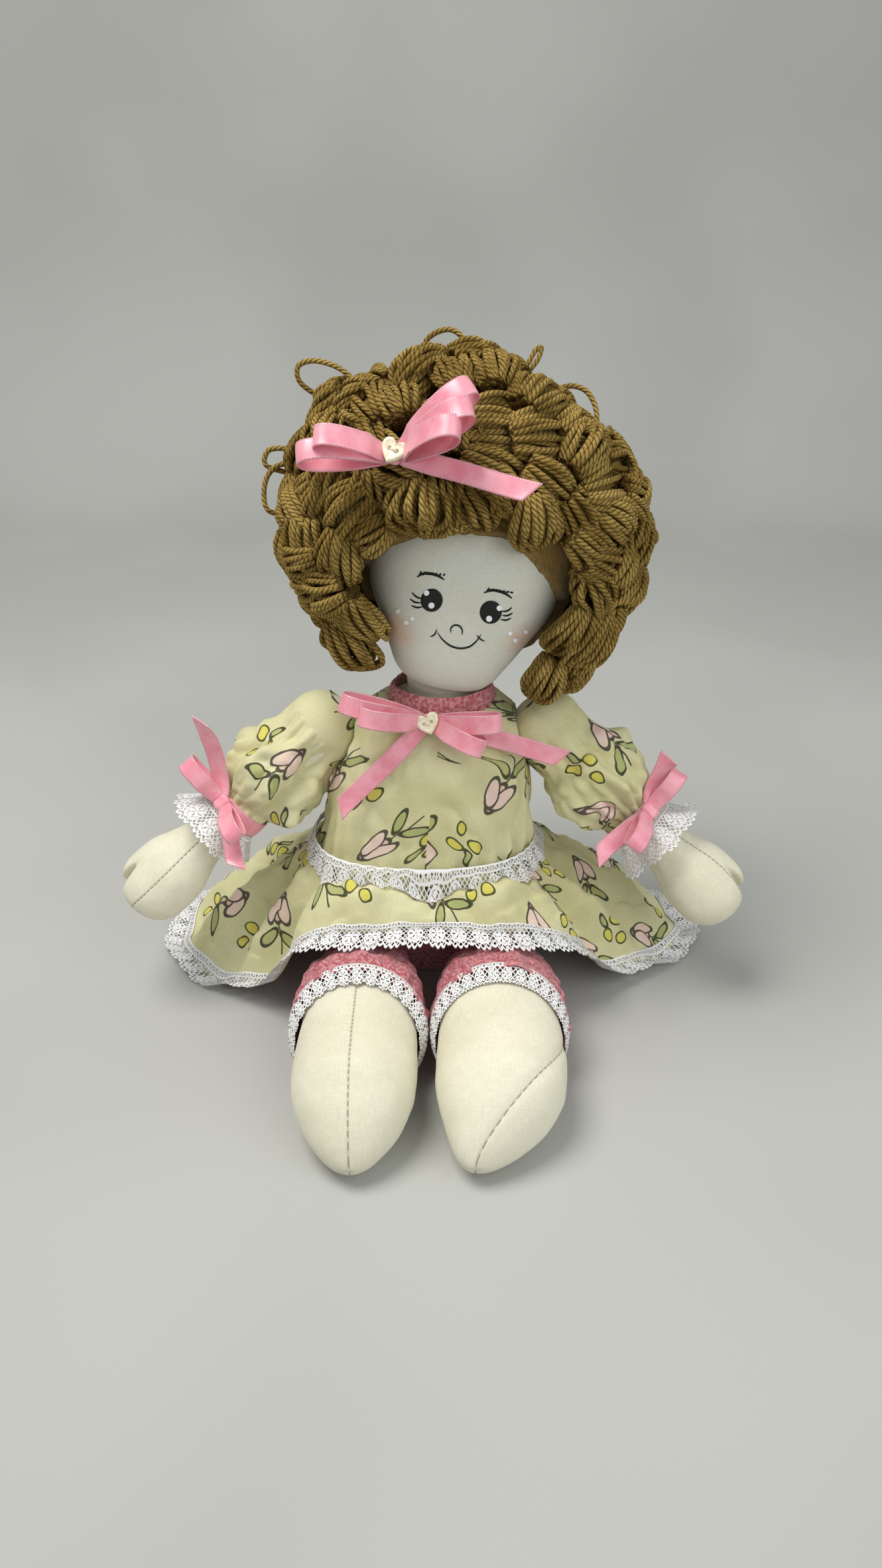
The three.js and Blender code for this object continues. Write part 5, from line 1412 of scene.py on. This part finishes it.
# The hair's outline round a middle pixel: radius in pixels at angles in degrees
OUTLINE_MIDDLE = (700, 770)
OUTLINE = (
    (-168, -158, -146, -136, -120, -100, -70, -59, -46, -38, -30, -14, -5, 6, 18, 27, 34, 52, 65, 79, 93, 103,
     115, 127, 139, 149, 163, 175),
    (285, 277, 275, 290, 300, 330, 345, 320, 300, 300, 300, 302, 298, 297, 274, 250, 230, 228, 232, 245, 258,
     270, 262, 270, 288, 292, 305, 306))
FILLING, ROOT_DEPTH = 230, 0.82
YARN_RADIUS, STRAY_RADIUS = 1.42, 1.3


def hair_to_doll(points):
    return from_head(points @ HAIR_TURN + HAIR_MIDDLE)


def doll_to_hair(points):
    return (to_head(points) - HAIR_MIDDLE) @ HAIR_TURN.T


def way_to_hair(ways):
    return ways @ HEAD_TURN.T @ HAIR_TURN.T


def hair_point(azimuth, elevation, depth):
    a, e = radians(azimuth), radians(elevation)
    return depth * HAIR_HALF * (np.cos(e) * np.sin(a), -np.cos(e) * np.cos(a), np.sin(e))


def seen_root(x, y, depth):
    """The point of the hair's ellipsoid, shrunk to depth, under a pixel: the nearer of two roots."""
    start, way = doll_to_hair(CAMERA), way_to_hair(pixel_ways([x, y]))
    o, d = start / HAIR_HALF, way / HAIR_HALF
    a, b, c = d @ d, 2 * o @ d, o @ o - depth ** 2
    t = (-b - np.sqrt(max(b * b - 4 * a * c, 0))) / (2 * a)
    return start + t * way


def bunch(root, heading, half, length, random, inner=0.75, steps=32):
    """Yarn loops in two layers round a barrel, as paths in the hair's frame, with the normals of the
    loops' planes. A loop runs out as L sin(pi u)^0.75 on one side and comes back on the other; the
    barrel widens from its root as 0.35 + 0.65 sin(pi s a)^0.8 and bends down along the head."""
    normal = unit(root / HAIR_HALF ** 2)
    normal = unit(np.array([normal[0], normal[1], max(normal[2], -0.15)]))
    heading = unit(heading - (heading @ normal) * normal)
    side = np.cross(normal, heading)
    u = np.linspace(0.02, 0.98, steps)
    swell = random.uniform(0.5, 0.72)
    curl = random.uniform(26, 44) * (2.5 if root[2] < -25 else 1)

    def waver(most):
        return random.uniform(0.4, most) * np.sin(2 * pi * u * random.uniform(1, 2) + random.uniform(0, 6))

    paths, planes = [], []
    for share, number in ((1.0, round(half * 1.15)), (0.62, round(half * inner))):
        for k in range(number):
            spread = 2 * (k + 0.5) / number - 1
            turn = radians(100 * spread + random.uniform(-12, 12))
            run = np.sin(pi * u) ** 0.75 * ((1 - 0.12 * spread ** 2) * random.uniform(0.78, 1.1))
            back = 0.15 + 0.85 * np.tanh((0.5 - u) * random.uniform(7, 10))
            wide = half * share * (0.35 + 0.65 * np.sin(pi * swell * ramp(run)) ** 0.8) * back
            wide = wide * random.uniform(0.86, 1.08)
            along = length * run
            sway, rock = waver(1.1), waver(1.0)
            aside = along * radians(random.uniform(-6, 6)) + wide * np.sin(turn) + sway
            lift = 0.8 * wide * (np.cos(turn) + 0.3) + 1.5 - along ** 2 / (2 * curl) + rock
            paths.append(root + heading * along[:, None] + side * aside[:, None] + normal * lift[:, None])
            planes.append(unit(np.cross(heading, side * np.sin(turn) + normal * np.cos(turn))))
    return np.array(paths), np.array(planes)


def within_outline(paths):
    """Draws a whole bunch in where it reaches past the hair's photographed outline."""
    x, y = (pixel_of(paths)[..., k] - OUTLINE_MIDDLE[k] for k in (0, 1))
    limit = np.interp(np.degrees(np.arctan2(-y, x)), *OUTLINE, period=360)
    past = max(np.percentile(np.hypot(x, y) - limit, 98), 0)
    ahead = ((paths - CAMERA) @ AHEAD).mean()
    inward = unit(np.array([-x.mean(), y.mean()])) * past * ahead / FOCAL
    return paths + inward[0] * X + inward[1] * UPWARD


def yarn_rings(paths, planes, thick):
    """Strands as points, faces, end caps and map: at each step a ring of six points in the frame of
    the loop's plane and the strand's direction. The map goes once round and along the arc length."""
    tangent = unit(np.gradient(paths, axis=1))
    first = unit(planes[:, None] - (planes[:, None] * tangent).sum(-1, keepdims=True) * tangent)
    second = np.cross(tangent, first)
    phase = (np.arange(6) * pi / 3)[:, None]
    points = paths[:, :, None] + thick * (np.cos(phase) * first[:, :, None] + np.sin(phase) * second[:, :, None])
    loops, count = paths.shape[:2]
    quads, spots = grid_faces(count, 6, True)
    lead = (np.arange(loops) * count * 6)[:, None, None]
    quads = (quads[None] + lead).reshape(-1, 4)
    start = lead[:, 0] + np.arange(6)[::-1]
    finish = lead[:, 0] + (count - 1) * 6 + np.arange(6)
    table = grid_of(np.linspace(0, 1, 7), arcs(paths, 1)[..., None] * MM).reshape(loops, -1, 2)
    return points.reshape(-1, 3), quads, np.concatenate([start, finish]), table[:, spots].reshape(-1, 2)


def yarn_mesh(name, parts, yarn):
    """One mesh of several bunches' strands."""
    lead = np.cumsum([0] + [len(part[0]) for part in parts])
    points, quads, caps, maps = zip(*parts)
    faces = np.concatenate([q + k for q, k in zip(quads, lead)]).tolist()
    faces += np.concatenate([c + k for c, k in zip(caps, lead)]).tolist()
    ends = np.zeros((6 * sum(len(c) for c in caps), 2))
    piece = mesh_piece(name, np.concatenate(points), faces, yarn, {"cloth": np.concatenate([*maps, ends])})
    carry(piece, "head", None)


def filling_bunches(middles, random):
    """Bunches that fill the outline: roots on a golden spiral over the hair, without the face, the
    neck and what is near the middle of a bunch already there. In front they point away from the
    face, behind they hang down, and the lowest are shorter."""
    step = np.arange(FILLING) + 0.5
    high = 1 - 2 * step / FILLING
    turn = step * pi * (3 - 5 ** 0.5)
    flat = np.sqrt(1 - high ** 2)
    roots = np.stack([flat * np.sin(turn), -flat * np.cos(turn), high], -1) * HAIR_HALF
    face, face_half, away_from = np.array([695, 935]), (190, 175), 900
    found = []
    for root in roots[high > -0.62]:
        normal = unit(root / HAIR_HALF ** 2)
        x, y = pixel_of(hair_to_doll(root))
        seen = normal[1] < 0.25
        away = np.array([x - face[0], 0, away_from - y]) if seen else -Z
        heading = unit(away) + 0.7 * random.uniform(-1, 1, 3)
        heading = unit(heading - (heading @ normal) * normal)
        reach = pixel_of(hair_to_doll(root * ROOT_DEPTH + heading * np.array([[0], [16], [32]])))
        if seen and (np.linalg.norm((reach - face) / face_half, axis=1) < 1).any():
            continue
        middle = root * 0.8 + heading * 14
        least = 14 if seen else 10 if root[2] > 30 else 13
        if np.linalg.norm(np.array(middles) - middle, axis=1).min() < least:
            continue
        middles.append(middle)
        found.append((root, heading, 12.5, 29 - 10 * ramp((-0.25 - root[2] / HAIR_HALF[2]) / 0.3)))
    return found


def curl_core(name, middle, size, under):
    """A small lump that closes the gaps between a curl's loops; its dark colour is painted shade."""
    row = np.linspace(-pi / 2, pi / 2, 42)[1:-1, None]
    angle = angles(72)
    beside = "cheek" in name or "shoulder" in name
    out = unit(middle / HAIR_HALF ** 2)
    east = unit(np.cross(Z, out))
    lump = grid_of(30 * np.cos(row) * np.cos(angle), 28 * np.cos(row) * np.sin(angle), 26 * np.sin(row))
    lump = lump * (size * (0.3 if beside else 0.5))
    lump = lump * (1 + 0.08 * waves(lump, 14, 120))[..., None]
    lump = lump @ np.array([east, np.cross(out, east), out]) + middle * 0.74 + Y * (12 if beside else 0)
    carry(solid(f"curl_{name}_core", hair_to_doll(lump), under), "head", [f"curl_{name}"])


def make_hair(yarn, under, felt):
    """Bunches of yarn loops, each given to the nearest curl, over a small core for every curl whose dark colour
    is painted shade. The bunches seen in the photograph have more and smoother strands, and all lie deeper by
    the bow."""
    random = np.random.default_rng(12)
    centres = np.array([hair_point(*curl[:3]) for curl in CURLS.values()])
    bunches = []
    for x, y, heading, half, length in FRONT_BUNCHES:
        way = X * np.cos(radians(heading)) - UPWARD * np.sin(radians(heading))
        bunches.append((seen_root(x, y, ROOT_DEPTH) / ROOT_DEPTH, unit(way_to_hair(way)), half, length))
    middles = [root * 0.8 + way * length / 2 for root, way, _, length in bunches]
    bunches += filling_bunches(middles, random)
    gathered = {name: [] for name in CURLS}
    for k, (root, way, half, length) in enumerate(bunches):
        near_bow = bell(np.linalg.norm(root - BOW_PLACE), 36)
        name = list(CURLS)[int(np.argmin(np.linalg.norm(centres - root * 0.76, axis=1)))]
        depth = ROOT_DEPTH - 0.05 * near_bow + 0.05 * ramp(root[0] / HAIR_HALF[0])
        detail = () if k < len(FRONT_BUNCHES) else (0.45, 21)
        paths, planes = bunch(root * depth, way, half, length, random, *detail)
        paths = within_outline(hair_to_doll(paths))
        gathered[name].append(yarn_rings(paths, planes @ HAIR_TURN @ HEAD_TURN, YARN_RADIUS))
    for name, middle in zip(CURLS, centres):
        curl_core(name, middle, CURLS[name][3], under)
        if gathered[name]:
            yarn_mesh(f"curl_{name}_loops", gathered[name], yarn)
    make_strays(yarn)
    make_cap(felt)


# Single loops that stand off the outline, as pixels of the photograph
STRAYS = [
    [(500, 602), (472, 592), (450, 572), (450, 552), (470, 544), (505, 552), (530, 570)],
    [(640, 520), (655, 503), (680, 497), (698, 510), (704, 535), (700, 556)],
    [(708, 560), (712, 535), (730, 520), (752, 528), (764, 552), (770, 580)],
    [(760, 590), (778, 568), (796, 548), (808, 528), (816, 524), (812, 540), (798, 560), (785, 585)],
    [(826, 612), (836, 592), (858, 582), (882, 588), (896, 608), (900, 632), (896, 655)],
    [(405, 770), (398, 745), (405, 715), (425, 700), (450, 705), (470, 720)],
    [(400, 700), (404, 680), (420, 676), (445, 680), (470, 690)]]


def make_strays(yarn):
    """Free loops: smooth curves through pixels, set at the depth of the hair's middle, whose ends
    run on into the hair."""
    paths = []
    for pixels in STRAYS:
        pixels = np.array(pixels, float)
        inner = pixels[[0, -1]] + 0.17 * (OUTLINE_MIDDLE - pixels[[0, -1]])
        ways = pixel_ways(np.concatenate([inner[:1], pixels, inner[1:]]))
        middle = from_head(HAIR_MIDDLE) - (0, 8, 0)
        spots = CAMERA + ways * (((middle - CAMERA) @ AHEAD) / (ways @ AHEAD))[:, None]
        spots[[0, -1]] += AHEAD * 6
        paths.append(curve_rows(straight_ends(spots), 60))
    planes = np.tile(-AHEAD, (len(paths), 1))
    yarn_mesh("stray_loops", [yarn_rings(np.array(paths), planes, STRAY_RADIUS)], yarn)


HAIRLINE = [(538, 905), (543, 875), (562, 845), (590, 822), (633, 806), (701, 801), (769, 811), (801, 843),
            (825, 872), (838, 901), (848, 927)]


def make_cap(felt):
    """Combed fibre stitched to the head: the head's own surface grown by 2.4 mm, and by 4.5 mm more
    towards the crown, which sinks under the cloth inside the hairline and below the nape."""
    line = on_face(HAIRLINE)
    x, z = line[np.argsort(line[:, 0])][:, [0, 2]].T
    x = np.concatenate([[x[0] - 14, x[0] - 1.5], x, [x[-1] + 1.5, x[-1] + 14]])
    z = np.concatenate([[z[0] - 90, z[0] - 12], z, [z[-1] - 12, z[-1] - 90]])
    shape = curve_rows(round_ends(HEAD_ROWS[1:]), 200)[6:]
    bare = head_rings(shape, 320, 0.0)
    above = bare[..., 2] - np.interp(bare[..., 0], x, z)
    jag = 0.7 * waves(bare * (1, 1, 0.25), 9, 131)
    front, behind = np.clip((above + jag) / 2.2, -1, 1), np.clip((bare[..., 1] - 2) / 3, -1, 1)
    cover = np.minimum(np.maximum(front, behind), np.clip((bare[..., 2] - 21) / 3, -1, 1))
    swell = 4.5 * np.sqrt(ramp(np.maximum(above, (bare[..., 1] + 6) * 1.5) / 22)) * ramp(cover)
    grow = 0.6 + 1.8 * ramp(cover) + 2.0 * np.clip(cover, -1, 0) + swell
    grow = grow + 0.3 * waves(bare * (1, 1, 0.2), 5, 132, 2) * ramp(cover)
    lift = np.clip(grow, 0, 9) * ramp((shape[:, :1] - 0.8) * 5)
    grid = from_head(head_rings(shape, 320, grow, lift))
    carry(solid("wig_cap_felt", grid, felt), "head", ["wig_cap"])


# Room, doll and light

def make_room():
    """A pale table top that sweeps up into a plain wall behind the doll: 2.65 m of floor, a quarter
    turn of 300 mm radius and 1.8 m of wall."""
    t = np.linspace(0, 1, 120)[:, None]
    run, bend, rise = (ramp((t - start) / span) for start, span in ((0, 0.7), (0.7, 0.1), (0.8, 0.2)))
    bend = bend * pi / 2
    grid = grid_of(np.linspace(-2600, 2600, 60), -1800 + 2650 * run + 300 * np.sin(bend),
                   300 * (1 - np.cos(bend)) + 1800 * rise)
    g = Finish("plain_paper", "#b9b9b4", 0.85, specular=0.15)
    paper = g.done(g.clouds(g.noise(g.place(), 2.5, 2.0), 0.35, 0.65, "#b5b5b0", "#bdbdb8"))
    quads, _ = grid_faces(*grid.shape[:2], False)
    mesh_piece("table_and_wall", grid.reshape(-1, 3), quads.tolist(), paper)


def make_bows(satin):
    """The neck's and the hair's bows with their buttons, and a bow on each cuff. A loop is its share
    of the length, its turn and its swing; a tail is its share, its turn and its rise."""
    cream, thread = button_finish(), paint_finish("button_thread", "#f3efe4", 0.8)
    on_neck = bow_frame((-3.5, -15.12, 164.4), (0, -0.97, 0.26))
    make_bow("neck_bow", on_neck, satin, "body",
             {"right": [(1.05, 161, 20), (0.89, 168, 34)], "left": [(0.86, 2, 20), (0.76, -19, 32)]}, 44,
             {"right_tail": (0.94, 226, 0), "left_tail": (1.03, -15, 0)}, 68, 201)
    make_button("neck_heart_button", on_neck, 18, cream, thread, "body", "neck_button")
    in_head = bow_frame(HAIR_MIDDLE + BOW_PLACE, (-0.3, -0.8, 0.55))

    def on_hair(points):
        return from_head(in_head(points))

    make_bow("hair_bow", on_hair, satin, "head",
             {"right": [(0.95, 206, 20), (0.82, 198, 34)],
              "left": [(1, 52, 20), (0.95, 36, 28), (0.86, 20, 36)]}, 44,
             {"tail": (1, 3, 0)}, 62, 251)
    make_button("hair_heart_button", on_hair, -8, cream, thread, "head", "hair_button")
    for side, loops, tails, seed in (
            ("right", [(1.04, 178, 20), (0.96, -8, 20)], [(0.97, 140, 0.75), (0.92, -24, 0.05)], 301),
            ("left", [(0.93, 10, 20), (1, 186, 20)], [(0.66, 36, 0.7), (1.03, 172, 0.05)], 331)):
        make_bow(f"{side}_cuff_bow", cuff_bow_frame(side), satin, f"{side}_arm",
                 {f"loop_{k}": [one] for k, one in enumerate(loops)}, 27,
                 {f"tail_{k}": one for k, one in enumerate(tails)}, 38, seed, one_node=True)


def make_doll():
    limb, plain = (cotton(f"{name}_cotton", "#ebe6cd", "#eee9d1", "#e6e1c7", 0.00042, 18.0, seam=name == "limb")
                   for name in ("limb", "body"))
    rose = cotton("rose_cotton", "#bd6f76", "#d39497", "#ac5861", 0.00045, 560.0)
    printed, satin = print_cotton(), satin_finish()
    hem_lace, lace, narrow_lace = (lace_thread(width) for width in (14, 15, 9))
    make_torso(plain)
    make_neck(plain)
    make_head(face_cotton())
    make_face(paint_finish("eye_paint", "#040405", 0.3), paint_finish("face_pen", "#12100e", 0.8),
              paint_finish("white_paint", "#ffffff", 0.35))
    make_hair(yarn_finish(), shaded_core_yarn_finish(), felt_finish())
    make_bodice(printed)
    make_collar(rose)
    make_skirt(printed, hem_lace)
    make_waist_lace(lace)
    make_seat(rose)
    for side in SIDES:
        make_arm(side, limb)
        make_sleeve(side, printed)
        make_cuff(side, lace, satin)
        make_leg(side, limb)
        make_bloomer_leg(side, rose, narrow_lace)
    make_bows(satin)


add_camera()
add_lamp("window", (-0.5, -0.15, 1.45), (0, 0, 0.1), 0.8, 16, (1.0, 0.985, 0.96))
add_lamp("room_fill", (0.9, -0.9, 0.9), (0, 0, 0.15), 1.4, 8, (0.95, 0.98, 1.0))
world = bpy.data.worlds.new("room_light")
world.use_nodes = True
background = world.node_tree.nodes["Background"]
background.inputs["Color"].default_value = (0.82, 0.86, 0.88, 1)
background.inputs["Strength"].default_value = 0.48
bpy.context.scene.world = world
bpy.context.scene.view_settings.view_transform = "Standard"
make_room()
make_doll()
